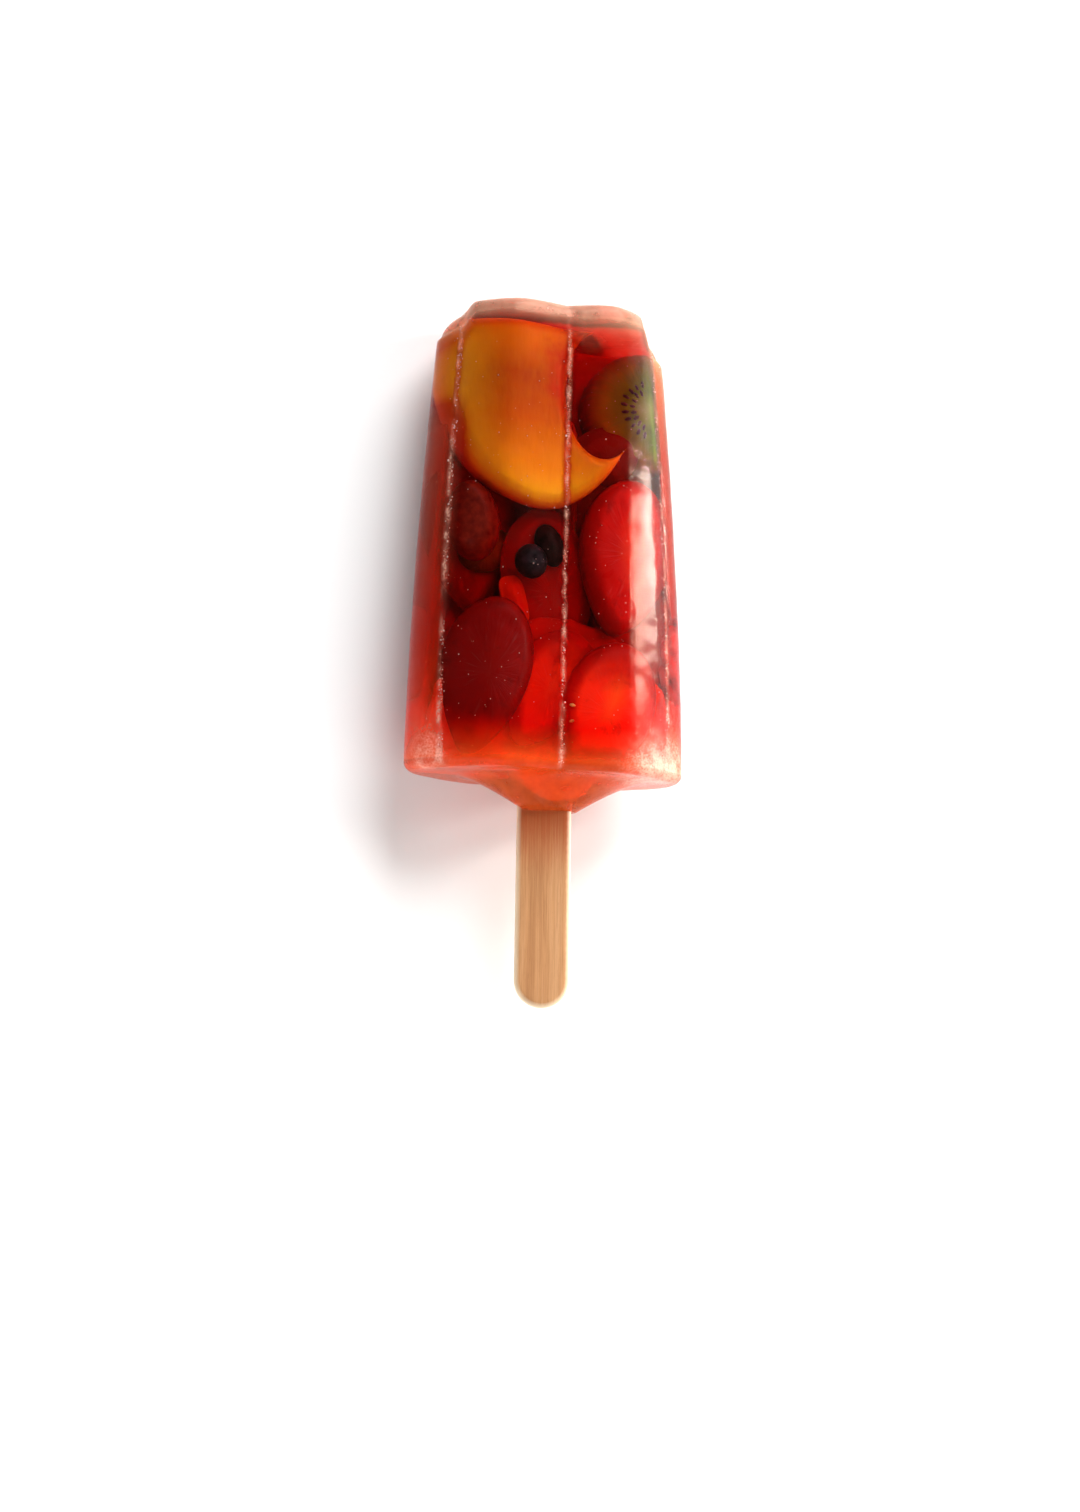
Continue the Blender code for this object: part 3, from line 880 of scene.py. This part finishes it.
def peach_flesh(name, stain):
    """Peach or apricot flesh; stain is how far red juice has soaked in."""
    n = Nodes(name)
    where = n.vector("local")
    x, y, _ = n.parts(where)
    patches = n.noise(where, 0.2, 4.0, 0.6)
    # distance from the stone hollow, as a share of its radii
    hollow_x = n.math("DIVIDE", n.math("SUBTRACT", x, 11.9), 7.0)
    hollow_y = n.math("DIVIDE", n.math("ADD", y, 2.8), 12.2)
    hollow = n.math("SQRT", n.math(
        "ADD", n.math("POWER", hollow_x, 2.0), n.math("POWER", hollow_y, 2.0)))
    blush = n.fit(
        n.ragged(hollow, patches, 0.2, 0.8, 0.45), 1.05, 1.95, 1.0, 0.0, smooth=True)
    blush = n.math("MULTIPLY", blush, n.fit(y, -14.0, -4.0, smooth=True))
    # painted shade: the flesh is darkest across its upper middle
    flesh = n.ramp(n.fit(y, -28.0, 10.0), [
        (0.0, (0.80, 0.42, 0.008)), (0.22, (0.68, 0.21, 0.003)), (0.45, (0.50, 0.085, 0.001)),
        (0.69, (0.38, 0.048, 0.001)), (1.0, (0.80, 0.20, 0.003))])
    fibre = n.noise(n.scaled(where, (0.5, 0.12, 0.3)), 1.6, 3.0, 0.6)
    flesh = n.mix(n.fit(fibre, 0.35, 0.7, 0.0, 0.3), flesh, (0.58, 0.15, 0.004))
    gold = n.fit(x, -7.0, -17.0, 0.0, 0.7, smooth=True)
    flesh = n.mix(gold, flesh, (0.72, 0.34, 0.010))
    colour = n.mix(blush, flesh, (0.48, 0.026, 0.005))
    rind = n.fit(n.value("rim"), 0.0, 1.2, 0.45, 0.0)
    colour = n.mix(rind, colour, (0.85, 0.36, 0.02))
    colour = n.mix(stain, colour, (0.66, 0.025, 0.003))
    return n.finish(
        colour, patches, 0.28, 0.5, (fibre, 0.0002, 0.4), Specular_IOR_Level=0.04,
        Subsurface_Weight=0.12, Subsurface_Radius=(2.0, 1.0, 0.3), Subsurface_Scale=0.001)


def kiwi_flesh():
    n = Nodes("kiwi_flesh")
    where = n.vector("local")
    radius = n.value("radius")
    fibre = n.rays(n.parts(where), radius, 6.0, 0.1, 2.5)
    patches = n.noise(where, 0.25, 3.0, 0.5)
    size = n.ragged(radius, fibre, 0.3, 0.7, 0.8)
    colour = n.ramp(n.fit(size, 0.0, 12.0), [
        (0.0, (0.26, 0.40, 0.10)), (0.2, (0.18, 0.32, 0.04)), (0.34, (0.10, 0.22, 0.006)),
        (0.6, (0.13, 0.26, 0.006)), (0.9, (0.26, 0.22, 0.010)), (1.0, (0.40, 0.22, 0.02))])
    colour = n.mix(n.fit(patches, 0.5, 0.8, 0.0, 0.5), colour, (0.08, 0.16, 0.004))
    return n.finish(
        colour, fibre, 0.3, 0.5, (fibre, 0.0002, 0.5), Specular_IOR_Level=0.04)


def berry_skin(name, dark, light, smooth, rough):
    n = Nodes(name)
    patches = n.noise(n.vector("local"), 0.5, 4.0, 0.6)
    return n.finish(
        n.mix(n.fit(patches, 0.3, 0.75), dark, light), patches, smooth, rough,
        (patches, 0.0002, 0.3), Specular_IOR_Level=0.05)


def raspberry_beads():
    n = Nodes("raspberry_beads")
    bead = n.value("bead")
    patches = n.noise(n.vector("local"), 0.6, 3.0, 0.6)
    # painted shade: darker down between the beads, lighter on their tops
    colour = n.ramp(bead, [
        (0.0, (0.30, 0.002, 0.006)), (0.5, (0.72, 0.010, 0.016)), (1.0, (0.90, 0.04, 0.04))])
    colour = n.mix(n.fit(patches, 0.5, 0.8, 0.0, 0.5), colour, (0.30, 0.004, 0.02))
    return n.finish(
        colour, patches, 0.25, 0.4, (patches, 0.0001, 0.3), Specular_IOR_Level=0.08)


def seed_coat(name, dark, light):
    n = Nodes(name)
    patches = n.noise(n.where(), 2500.0, 2.0, 0.5)
    return n.surface(
        Base_Color=n.mix(n.fit(patches, 0.3, 0.7), dark, light),
        Roughness=n.fit(patches, 0.3, 0.7, 0.3, 0.5))


def frost_white():
    n = Nodes("frost")
    patches = n.noise(n.where(), 600.0, 3.0, 0.6)
    colour = n.mix(n.fit(patches, 0.3, 0.7), (0.88, 0.42, 0.36), (0.95, 0.72, 0.66))
    return n.finish(
        colour, patches, 0.2, 0.45, (patches, 0.0001, 0.3), Transmission_Weight=0.45, IOR=1.31)


def stick_wood():
    n = Nodes("lolly_stick_wood")
    where = n.vector("local")
    bands = n.noise(n.scaled(where, (1.0, 0.035, 1.0)), 0.55, 4.0, 0.6, 0.6)
    fibre = n.noise(n.scaled(where, (1.0, 0.02, 1.0)), 5.5, 4.0, 0.7)
    pores = n.noise(n.scaled(where, (1.0, 0.05, 1.0)), 9.0, 2.0, 0.5)
    colour = n.ramp(bands, [
        (0.25, (0.36, 0.155, 0.055)), (0.5, (0.52, 0.255, 0.105)), (0.75, (0.62, 0.34, 0.16))])
    colour = n.mix(n.fit(fibre, 0.42, 0.75, 0.0, 0.55), colour, (0.27, 0.115, 0.045))
    colour = n.mix(n.fit(pores, 0.66, 0.78, 0.0, 0.6), colour, (0.20, 0.09, 0.04))
    # juice has soaked up the grain next to the ice
    reach = n.ragged(n.parts(where)[1], fibre, 0.3, 0.7, 2.2)
    wet = n.fit(reach, -21.0, -5.0, 0.0, 0.9, smooth=True)
    colour = n.mix(wet, colour, (0.42, 0.085, 0.022))
    # painted highlight: the stick's rounded edges are painted pale cream, for light catching them
    colour = n.mix(n.fit(n.value("rim"), 0.1, 0.9, 0.8, 0.0), colour, (0.93, 0.76, 0.54))
    rough = n.math("MULTIPLY_ADD", wet, -0.25, n.fit(fibre, 0.3, 0.7, 0.5, 0.75))
    return n.surface(
        Base_Color=colour, Roughness=rough, Specular_IOR_Level=0.3,
        Normal=n.bump(fibre, 0.00008, 0.7))


def pale_floor():
    n = Nodes("pale_floor")
    patches = n.noise(n.where(), 12.0, 3.0, 0.5)
    return n.surface(
        Base_Color=n.mix(patches, (0.90, 0.90, 0.90), (0.93, 0.93, 0.93)),
        Roughness=0.9, Specular_IOR_Level=0.1)


# ---- pieces of the lolly

def make_ice():
    rings, veils = block_rings()
    count = len(SIDE)
    # distance from the nearest groove, as a share of a rib's half width
    groove = np.where(ON_SIDE, 9.0, np.minimum(np.abs(PLACE - 1.0), np.abs(PLACE + 1.0)))
    near = np.tile(np.exp(-(groove / 0.042) ** 2), len(rings))
    ring = np.repeat(np.arange(len(rings)), count)
    ring = np.minimum(ring, len(rings) - 1 - ring)
    near *= np.clip((ring - CAP_STEPS) / EDGE_STEPS, 0.0, 1.0)
    ends = [(0.0, -COLLAR_HEIGHT, 0.0), (0.0, ICE_LENGTH, 0.0)]
    points = np.concatenate([*rings, ends])
    veil = np.concatenate([*veils, [END_FROST_AND_LIGHT, TIP_FROST_AND_SHEEN]])
    near = np.concatenate([near, [0.0, 0.0]])
    streaks = wobble(points * np.array((1.0, 0.45, 1.0)), 0.9, 8.0)
    right = np.exp(-((points[:, 0] - 20.5) / 6.5) ** 2)
    left = np.exp(-((points[:, 0] + 24.5) / 3.2) ** 2)
    corner = (0.95 * right + 0.45 * left) * np.exp(-((points[:, 1] - 1.0) / 7.0) ** 2)
    corner *= np.clip(points[:, 2] / 4.0, 0.0, 1.0)
    frost = np.clip(near * (0.55 + 0.8 * streaks) + corner, 0.0, 1.0)
    # melted skin isn't quite even, and the grooves are crusted
    away = np.column_stack([points[:, 0] / 25.0, 0.0 * points[:, 1], points[:, 2] / 11.0])
    away /= np.maximum(np.hypot(away[:, 0], away[:, 2]), 1e-6)[:, None]
    swell = 0.07 * wobble(points, 9.0, 1.0) + 0.04 * wobble(points, 3.0, 2.0) - 0.08
    crust = near * (0.08 + 0.20 * streaks)
    points = points + away * (np.minimum(swell, 0.0) + crust)[:, None]
    points[:, 2] = np.maximum(points[:, 2], REST_FLAT - half_depth(points[:, 1]))
    piece = add_piece(
        "juice_ice", points, ring_faces(len(rings), count), juice_ice(),
        {"frost": frost, "veil": veil})
    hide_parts("ice")


def make_stick():
    radius = STICK_WIDTH / 2.0
    straight = STICK_LENGTH / 2.0 - radius
    outline = arc((0.0, straight), (radius, radius), 0.0, 180.0, 32)
    outline += arc((0.0, -straight), (radius, radius), 180.0, 360.0, 32)
    half = STICK_THICKNESS / 2.0
    points, faces, away = slab(outline, flat_at(-half), flat_at(half), 0.9, 0.7)
    middle = STICK_LENGTH / 2.0 - STICK_OUT
    points[:, 2] += 0.02 * wobble(points * np.array((1.0, 0.06, 1.0)), 0.7)
    local = points + np.array((0.0, middle, 0.0))
    c, s = math.cos(STICK_TWIST), math.sin(STICK_TWIST)
    x = points[:, 0] * c + points[:, 2] * s
    z = -points[:, 0] * s + points[:, 2] * c
    turned = np.column_stack([x, local[:, 1], z])
    piece = add_piece(
        "wooden_stick", turned, faces, stick_wood(), {"local": local, "rim": away})
    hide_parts("stick")


def beads(unit):
    """A raspberry's drupelets: round beads spread evenly over it."""
    total = 42
    order = np.arange(total) + 0.5
    rise = np.arccos(1.0 - 2.0 * order / total)
    turn = math.pi * (1.0 + 5.0 ** 0.5) * order
    middle = np.column_stack([
        np.sin(rise) * np.cos(turn), np.cos(rise), np.sin(rise) * np.sin(turn)])
    near = (unit @ middle.T).max(1)
    angle = np.arccos(np.clip(near, -1.0, 1.0))
    height = np.sqrt(np.maximum(1.0 - (angle / 0.34) ** 2, 0.0))
    return 0.16 * height - 0.10, {"bead": height}


def crown(unit):
    """A blueberry's dimple with its small star-shaped rim, on the side that looks up."""
    top = unit[:, 2]
    side = np.arctan2(unit[:, 1], unit[:, 0])
    radius = np.sqrt(np.maximum(1.0 - top ** 2, 0.0))
    star = 0.34 + 0.05 * np.cos(5.0 * side)
    ring = np.exp(-((radius - star) / 0.07) ** 2) * (top > 0)
    dip = np.exp(-(radius / 0.26) ** 2) * (top > 0)
    return 0.07 * ring - 0.16 * dip, {"bead": ring}


# the cut strawberries at the front: outline, place and turn
FRONT_STRAWBERRIES = {
    "upper": (strawberry_outline(18.0, 31.0), (13.3, 41.9), -9.0),
    "right": (strawberry_outline(17.0, 29.0), (9.0, 11.0), -20.0),
    "left": (strawberry_outline(15.6, 30.0), (-13.8, 17.2), -10.0)}


def make_fruit():
    peach = peach_flesh("peach_flesh", 0.0), "peach"
    stained = peach_flesh("stained_peach_flesh", 0.7), "peach"
    kiwi = kiwi_flesh(), "kiwi"
    bright, ripe, shaded, dark, darkest, pale = [
        (strawberry_flesh("strawberry_" + name, *colours), "strawberry")
        for name, *colours in (
            # name, skin, flesh, heart, seed, painted light on the pointed end, painted shade on
            # the leaf end
            ("bright", (0.62, 0.004, 0.002), (0.90, 0.022, 0.004), (0.92, 0.07, 0.008), 3.0,
             None, (0.30, 0.001, 0.001)),
            ("ripe", (0.34, 0.001, 0.001), (0.46, 0.003, 0.002), (0.60, 0.02, 0.006), 11.0),
            ("shaded", (0.19, 0.001, 0.001), (0.19, 0.001, 0.001), (0.22, 0.002, 0.001), 6.0,
             (0.62, 0.003, 0.001)),
            ("deep", (0.28, 0.001, 0.001), (0.40, 0.004, 0.002), (0.46, 0.012, 0.004), 7.0),
            ("darkest", (0.12, 0.002, 0.001), (0.16, 0.003, 0.001), (0.20, 0.01, 0.003), 5.0),
            ("pale", (0.66, 0.010, 0.003), (0.85, 0.06, 0.012), (0.95, 0.15, 0.035), 9.0,
             None, (0.34, 0.003, 0.001)))]
    cherry = berry_skin("dark_cherry", (0.08, 0.003, 0.002), (0.24, 0.018, 0.008), 0.25, 0.45)
    blue = berry_skin("blueberry", (0.004, 0.003, 0.005), (0.025, 0.012, 0.02), 0.3, 0.5)

    slice_piece(
        "peach_slice_flesh", peach_outline((18.8, 27.5), 9.8, (11.9, -4.0), (7.4, 12.9)),
        (-3.5, 77.7), 0.0, FRONT, BEYOND, *peach, ["peach_slice"], thicker=(-10.0, 0.5))
    slice_piece(
        "peach_chunk_flesh", chunk_outline(12.0, 18.0), (-25.8, 22.3), 4.0, -6.5, 2.3, *stained,
        ["peach_chunk"])
    slice_piece(
        "kiwi_slice_flesh", arc((0.0, 0.0), (11.6, 11.9), 0.0, 354.0, 59), KIWI_PLACE, 0.0,
        -4.5, KIWI_TOP, *kiwi, ["kiwi_slice"])
    for name, flesh in (("upper", ripe), ("right", bright), ("left", shaded)):
        slice_piece(
            f"strawberry_{name}_flesh", *FRONT_STRAWBERRIES[name], FRONT, BEYOND, *flesh,
            [f"strawberry_{name}"])
    berry_piece(
        "dark_cherry_flesh", (4.9, 7.8, 4.7), (-16.0, 47.0, 5.0), 8.0, cherry,
        stands_for=["dark_cherry"])
    berry_piece(
        "blueberry_skin", (3.1, 3.3, 3.0), (-5.8, 39.4, 8.0), 0.0, blue, crown,
        ["blueberry"])
    berry_piece(
        "raspberry_beads", (5.8, 8.6, 5.3), (23.4, 24.4, -3.0), 6.0, raspberry_beads(),
        beads, ["raspberry"])

    # fruit that is sunk deeper, and at the back
    for name, *settings in (
            # name, outline, place, turn, low, high, material and slot
            ("sunk_strawberry_middle", strawberry_outline(17.0, 34.0), (-1.0, 34.0), 8.0,
             2.5, 4.6, *dark),
            ("sunk_strawberry_low", strawberry_outline(15.0, 25.0), (-1.5, 15.5), -30.0,
             5.0, 7.4, *pale),
            ("sunk_strawberry_left", strawberry_outline(17.0, 30.0), (-15.5, 45.0), 6.0,
             -1.4, 1.6, *dark),
            ("sunk_strawberry_right", strawberry_outline(17.0, 30.0), (14.5, 26.0), -8.0,
             -1.4, 1.6, *ripe),
            ("sunk_strawberry_top", strawberry_outline(12.0, 12.0), (9.5, 61.5), 12.0,
             5.0, 7.0, *darkest),
            ("sunk_kiwi", arc((0.0, 0.0), (5.2, 4.4), 0.0, 350.0, 35), (-12.8, 42.0), 20.0,
             1.6, 3.4, *kiwi),
            ("sunk_peach_wedge", chunk_outline(4.4, 9.5), (-8.4, 32.0), 14.0, 4.8, 7.0, *stained),
            ("back_strawberry_low", strawberry_outline(16.0, 27.0), (9.5, 20.0), 12.0,
             -BEYOND, BACK, *ripe),
            ("back_strawberry_high", strawberry_outline(15.0, 25.0), (-11.0, 47.0), -14.0,
             -BEYOND, BACK, *ripe),
            ("back_peach", chunk_outline(17.0, 24.0), (-11.5, 19.0), 10.0,
             -BEYOND, BACK, *stained),
            ("back_kiwi", arc((0.0, 0.0), (10.5, 11.2), 0.0, 354.0, 48), (8.5, 62.0), 0.0,
             -BEYOND, BACK, *kiwi)):
        slice_piece(name, *settings)
    berry_piece(
        "sunk_dark_berry", (2.8, 4.2, 2.6), (-1.9, 43.2, 5.8), 20.0, blue)
    make_seeds()


GRAIN = np.array([
    (0.0, 0.0, 1.0), (0.89, 0.0, 0.45), (0.28, 0.85, 0.45), (-0.72, 0.53, 0.45),
    (-0.72, -0.53, 0.45), (0.28, -0.85, 0.45), (0.72, 0.53, -0.45), (-0.28, 0.85, -0.45),
    (-0.89, 0.0, -0.45), (-0.28, -0.85, -0.45), (0.72, -0.53, -0.45), (0.0, 0.0, -1.0)])
GRAIN_FACES = [
    (0, 1, 2), (0, 2, 3), (0, 3, 4), (0, 4, 5), (0, 5, 1), (1, 6, 2), (2, 7, 3), (3, 8, 4),
    (4, 9, 5), (5, 10, 1), (6, 7, 2), (7, 8, 3), (8, 9, 4), (9, 10, 5), (10, 6, 1),
    (11, 7, 6), (11, 8, 7), (11, 9, 8), (11, 10, 9), (11, 6, 10)]


def scatter(name, places, sizes, turns, material, smooth=True):
    """One mesh of small rounded grains. sizes are half-lengths (n, 3) and turns are
    angles in the plane of the block."""
    points = []
    faces = []
    for index, (place, size, turn) in enumerate(zip(places, sizes, turns)):
        shape = GRAIN * size
        c, s = math.cos(turn), math.sin(turn)
        x = shape[:, 0] * c - shape[:, 1] * s
        y = shape[:, 0] * s + shape[:, 1] * c
        points.append(np.column_stack([x, y, shape[:, 2]]) + place)
        faces += [tuple(i + 12 * index for i in face) for face in GRAIN_FACES]
    return add_piece(name, np.concatenate(points), faces, material, smooth=smooth)


def rim_seeds(outline, place, turn, depth, step, inward, random):
    """Places and turns of seeds in a ring inside a slice's rim, at a depth or, where it is
    None, just under the front. Seeds past side_reach are left out, and just under the
    front these are most of them."""
    line = np.array(outline) * (1.0 - inward)
    line = np.concatenate([line, line[:1]])
    run = np.concatenate([[0.0], np.cumsum(np.hypot(*np.diff(line, axis=0).T))])
    stops = np.arange(0.0, run[-1] - 0.5 * step, step) + random.uniform(0.0, 0.3 * step)
    ring = np.column_stack([np.interp(stops, run, line[:, k]) for k in (0, 1)])
    ring = ring * (1.0 + random.normal(0.0, 0.04, len(ring)))[:, None]
    turns = np.arctan2(ring[:, 1], ring[:, 0]) + math.radians(turn) - math.pi / 2.0
    flat = placed(ring, place, turn)
    if depth is None:
        high = skin_depth(flat[:, 0], on_block(flat[:, 1])) - INSET + 0.05
    else:
        high = np.full(len(flat), depth)
    reach = side_reach(on_block(flat[:, 1]), high) - 1.2
    kept = (np.abs(flat[:, 0]) < reach) & (flat[:, 1] > 2.6)
    return np.column_stack([flat, high])[kept], turns[kept]


def seeds(name, rings, size, material, random):
    """One mesh of seeds in rings, which are given as rim_seeds asks for them."""
    made = [rim_seeds(*ring, random) for ring in rings]
    places = np.concatenate([some for some, _ in made])
    turns = np.concatenate([some for _, some in made])
    sizes = random.uniform(0.85, 1.15, (len(places), 1)) * np.array(size)
    scatter(name, places, sizes, turns, material)


def make_seeds():
    """The few strawberry seeds that rim_seeds keeps, and kiwi seeds round the kiwi's
    heart."""
    random = np.random.default_rng(4)
    gold = seed_coat("strawberry_seeds", (0.50, 0.16, 0.03), (0.72, 0.34, 0.08))
    black = seed_coat("kiwi_seeds", (0.006, 0.004, 0.004), (0.03, 0.02, 0.015))
    seeds(
        "strawberry_seeds", [(*cut, None, 2.9, 0.19) for cut in FRONT_STRAWBERRIES.values()],
        (0.34, 0.62, 0.22), gold, random)
    rings = [
        (arc((0.0, 0.0), (radius, radius), 0.0, 350.0, 30), KIWI_PLACE, 0.0, KIWI_TOP, step, 0.0)
        for radius, step in ((3.7, 1.25), (5.0, 1.5))]
    seeds("kiwi_seeds", rings, (0.38, 0.75, 0.28), black, random)


def make_frost():
    """Grains of frost along the front's grooves, and small bubbles under its skin."""
    random = np.random.default_rng(7)
    white = frost_white()
    total = 1500
    along = random.uniform(1.0, ICE_LENGTH - 5.5, total)
    groove = random.choice([-1.0, 0.0, 1.0], total, p=[0.3, 0.5, 0.2])
    wide = half_width(along) - SIDE_RIB_HEIGHT
    across = groove * groove_share(along) * wide
    across += np.where(groove == 0.0, middle_drift(along), 0.0)
    across += random.normal(0.0, 0.22, total) - 0.3 * groove
    clumps = wobble(np.column_stack([across, along, groove * 9.0]), 3.5, 2.0)
    kept = clumps > random.uniform(-0.45, 0.35, total)
    across, along = across[kept], along[kept]
    depth = skin_depth(across, along)
    size = random.lognormal(math.log(0.10), 0.35, len(across))[:, None]
    sizes = np.clip(size, 0.05, 0.22) * random.uniform(0.7, 1.4, (len(across), 3))
    sizes[:, 2] *= 0.6
    depth = np.minimum(depth - 0.12, depth - sizes[:, 2] * 0.5)
    scatter(
        "frost_grains", np.column_stack([across, along, depth]), sizes,
        random.uniform(0.0, math.pi, len(across)), white, smooth=False)

    total = 260
    along = random.uniform(2.0, ICE_LENGTH - 5.0, total)
    across = random.uniform(-0.93, 0.93, total) * half_width(along)
    depth = skin_depth(across, along) - random.uniform(0.22, 0.36, total)
    size = np.clip(random.lognormal(math.log(0.08), 0.4, total), 0.04, 0.16)[:, None]
    scatter(
        "ice_bubbles", np.column_stack([across, along, depth]), size * np.ones(3),
        np.zeros(total), white)


def make_heart():
    """The cloudy middle of the block behind the stick, and the cloudy ice that fills
    the foot of the block and the collar round the stick."""
    cloudy = cloudy_heart()
    places = np.linspace(88.0, 3.0, 70)
    left = [(1.2 - half_width(v), v) for v in places]
    right = [(half_width(v) - 1.2, v) for v in places[::-1]]

    def top(points):
        # higher along the walls, but not where the raspberry is
        wall = half_width(points[:, 1]) - np.abs(points[:, 0])
        rise = smoothstep(np.clip((7.5 - wall) / 5.0, 0.0, 1.0))
        berry = np.exp(-((points[:, 1] - 24.4) / 11.0) ** 4)
        return -1.8 + 5.6 * rise * np.where(points[:, 0] > 0.0, 1.0 - berry, 1.0)

    points, faces, away = slab(
        kept_within(np.array(left + right), -4.0, 1.4), flat_at(-6.0), top, 1.1, 1.6)
    points[:, 2] += 0.5 * wobble(points, 7.0, 5.0)
    points = under_skin(points, 1.0)
    add_piece(
        "cloudy_heart", points, faces, cloudy, {"local": points, "rim": away})

    foot = arc((0.0, 2.2), (24.6, 27.0), 0.0, 180.0, 48)
    foot += arc((1.2, 2.2), (7.6, 6.4), 180.0, 360.0, 24)
    flat = [(*point, 0.0) for point in foot]
    foot += 0.9 * np.column_stack([wobble(flat, 4.0, seed) for seed in (1.0, 9.0)])
    points, faces, away = slab(
        foot, flat_at(2.5), lambda p: 3.4 + 0.16 * np.clip(p[:, 1] + 4.0, 0.0, 12.0), 0.8, 0.5)
    points[:, 2] += 0.3 * wobble(points, 3.0, 6.0) * (points[:, 2] > 2.9)
    add_piece(
        "cloudy_foot", points, faces, cloudy, {"local": points, "rim": away})


# ---- camera and light

def look(item, place, target, top=(0.0, 0.0, 1.0)):
    """Puts item at place, facing target, with its own top turned towards top."""
    forward = (Vector(target) - Vector(place)).normalized()
    right = forward.cross(Vector(top)).normalized()
    up = right.cross(forward)
    turn = Matrix((right, up, -forward)).transposed().to_4x4()
    item.matrix_world = Matrix.Translation(place) @ turn
    return right, up


def add_area(name, place, target, size, power, colour):
    lamp = bpy.data.lights.new(name, "AREA")
    lamp.shape = "RECTANGLE"
    lamp.size, lamp.size_y = size
    lamp.energy = power
    lamp.color = colour
    look(new_object(name, lamp), place, target)


def make_studio():
    floor_mesh = bpy.data.meshes.new("floor")
    corners = [(-1.0, -1.0), (1.0, -1.0), (1.0, 1.0), (-1.0, 1.0)]
    floor_mesh.from_pydata(
        [(FLOOR_REACH * x, FLOOR_REACH * y, 0.0) for x, y in corners], [], [(0, 1, 2, 3)])
    floor_mesh.materials.append(pale_floor())
    floor = new_object("floor", floor_mesh)
    floor.location = (0.0, 0.0, -FLOOR_GAP)

    warm = (1.0, 0.95, 0.90)
    for settings in (
            # name, place, target, size, power, colour
            ("window_far_pane", (0.60, 0.212, 0.19), (0.0, 0.03, 0.012), (0.085, 0.36), 3.2, warm),
            ("window_top_pane", (0.60, 0.27, 0.47), (0.0, 0.03, 0.012), (0.05, 0.20), 0.9, warm),
            ("window_near_pane", (0.60, 0.055, 0.17), (0.0, 0.0, 0.012), (0.07, 0.32), 2.6, warm),
            ("side_light", (0.60, -0.60, 0.50), (0.0, 0.0, 0.0), (0.9, 0.9), 3.5, warm),
            ("fill", (-0.40, -0.85, 0.55), (0.0, 0.0, 0.0), (1.4, 0.8), 8.5, (1.0, 1.0, 1.0))):
        add_area(*settings)
    lamp = bpy.data.lights.new("softbox", "SUN")
    lamp.energy = 4.2
    lamp.angle = math.radians(42.0)
    look(new_object("softbox", lamp), (0.30, 0.82, 0.55), (0.0, 0.0, 0.0))

    # pale walls all round, and a dark ceiling
    world = bpy.data.worlds.new("studio")
    world.use_nodes = True
    tree = world.node_tree
    sky = tree.nodes["Background"]
    where = tree.nodes.new("ShaderNodeTexCoord")
    parts = tree.nodes.new("ShaderNodeSeparateXYZ")
    shade = tree.nodes.new("ShaderNodeMapRange")
    tree.links.new(where.outputs["Generated"], parts.inputs[0])
    tree.links.new(parts.outputs[2], shade.inputs["Value"])
    for key, value in (
            ("From Min", 0.12), ("From Max", 0.45), ("To Min", 0.85), ("To Max", 0.05)):
        shade.inputs[key].default_value = value
    sky.inputs["Color"].default_value = (1.0, 1.0, 1.0, 1.0)
    tree.links.new(shade.outputs[0], sky.inputs["Strength"])
    bpy.context.scene.world = world


def make_camera():
    """Looks down on the lolly from its left and a little from the stick's end."""
    target = Vector((0.0, 0.0, 0.010))
    side, pitch, roll = (math.radians(angle) for angle in (15.8, 11.25, 1.33))
    back = Vector((
        -math.sin(side) * math.cos(pitch), -math.sin(pitch), math.cos(side) * math.cos(pitch)))
    place = target + CAMERA_DISTANCE * back
    top = (-math.sin(roll), math.cos(roll), 0.0)
    data = bpy.data.cameras.new("camera")
    data.lens = 49.9
    data.sensor_width = 36.0
    item = new_object("camera", data)
    right, up = look(item, place, target, top)
    look(item, place, target - AIM_LEFT * right - AIM_BELOW * up, up)
    data.clip_start = 0.01
    data.clip_end = 10.0
    bpy.context.scene.camera = item


make_ice()
make_stick()
make_fruit()
make_heart()
make_frost()
make_studio()
make_camera()
bpy.context.scene.view_settings.view_transform = "Standard"
bpy.context.view_layer.update()
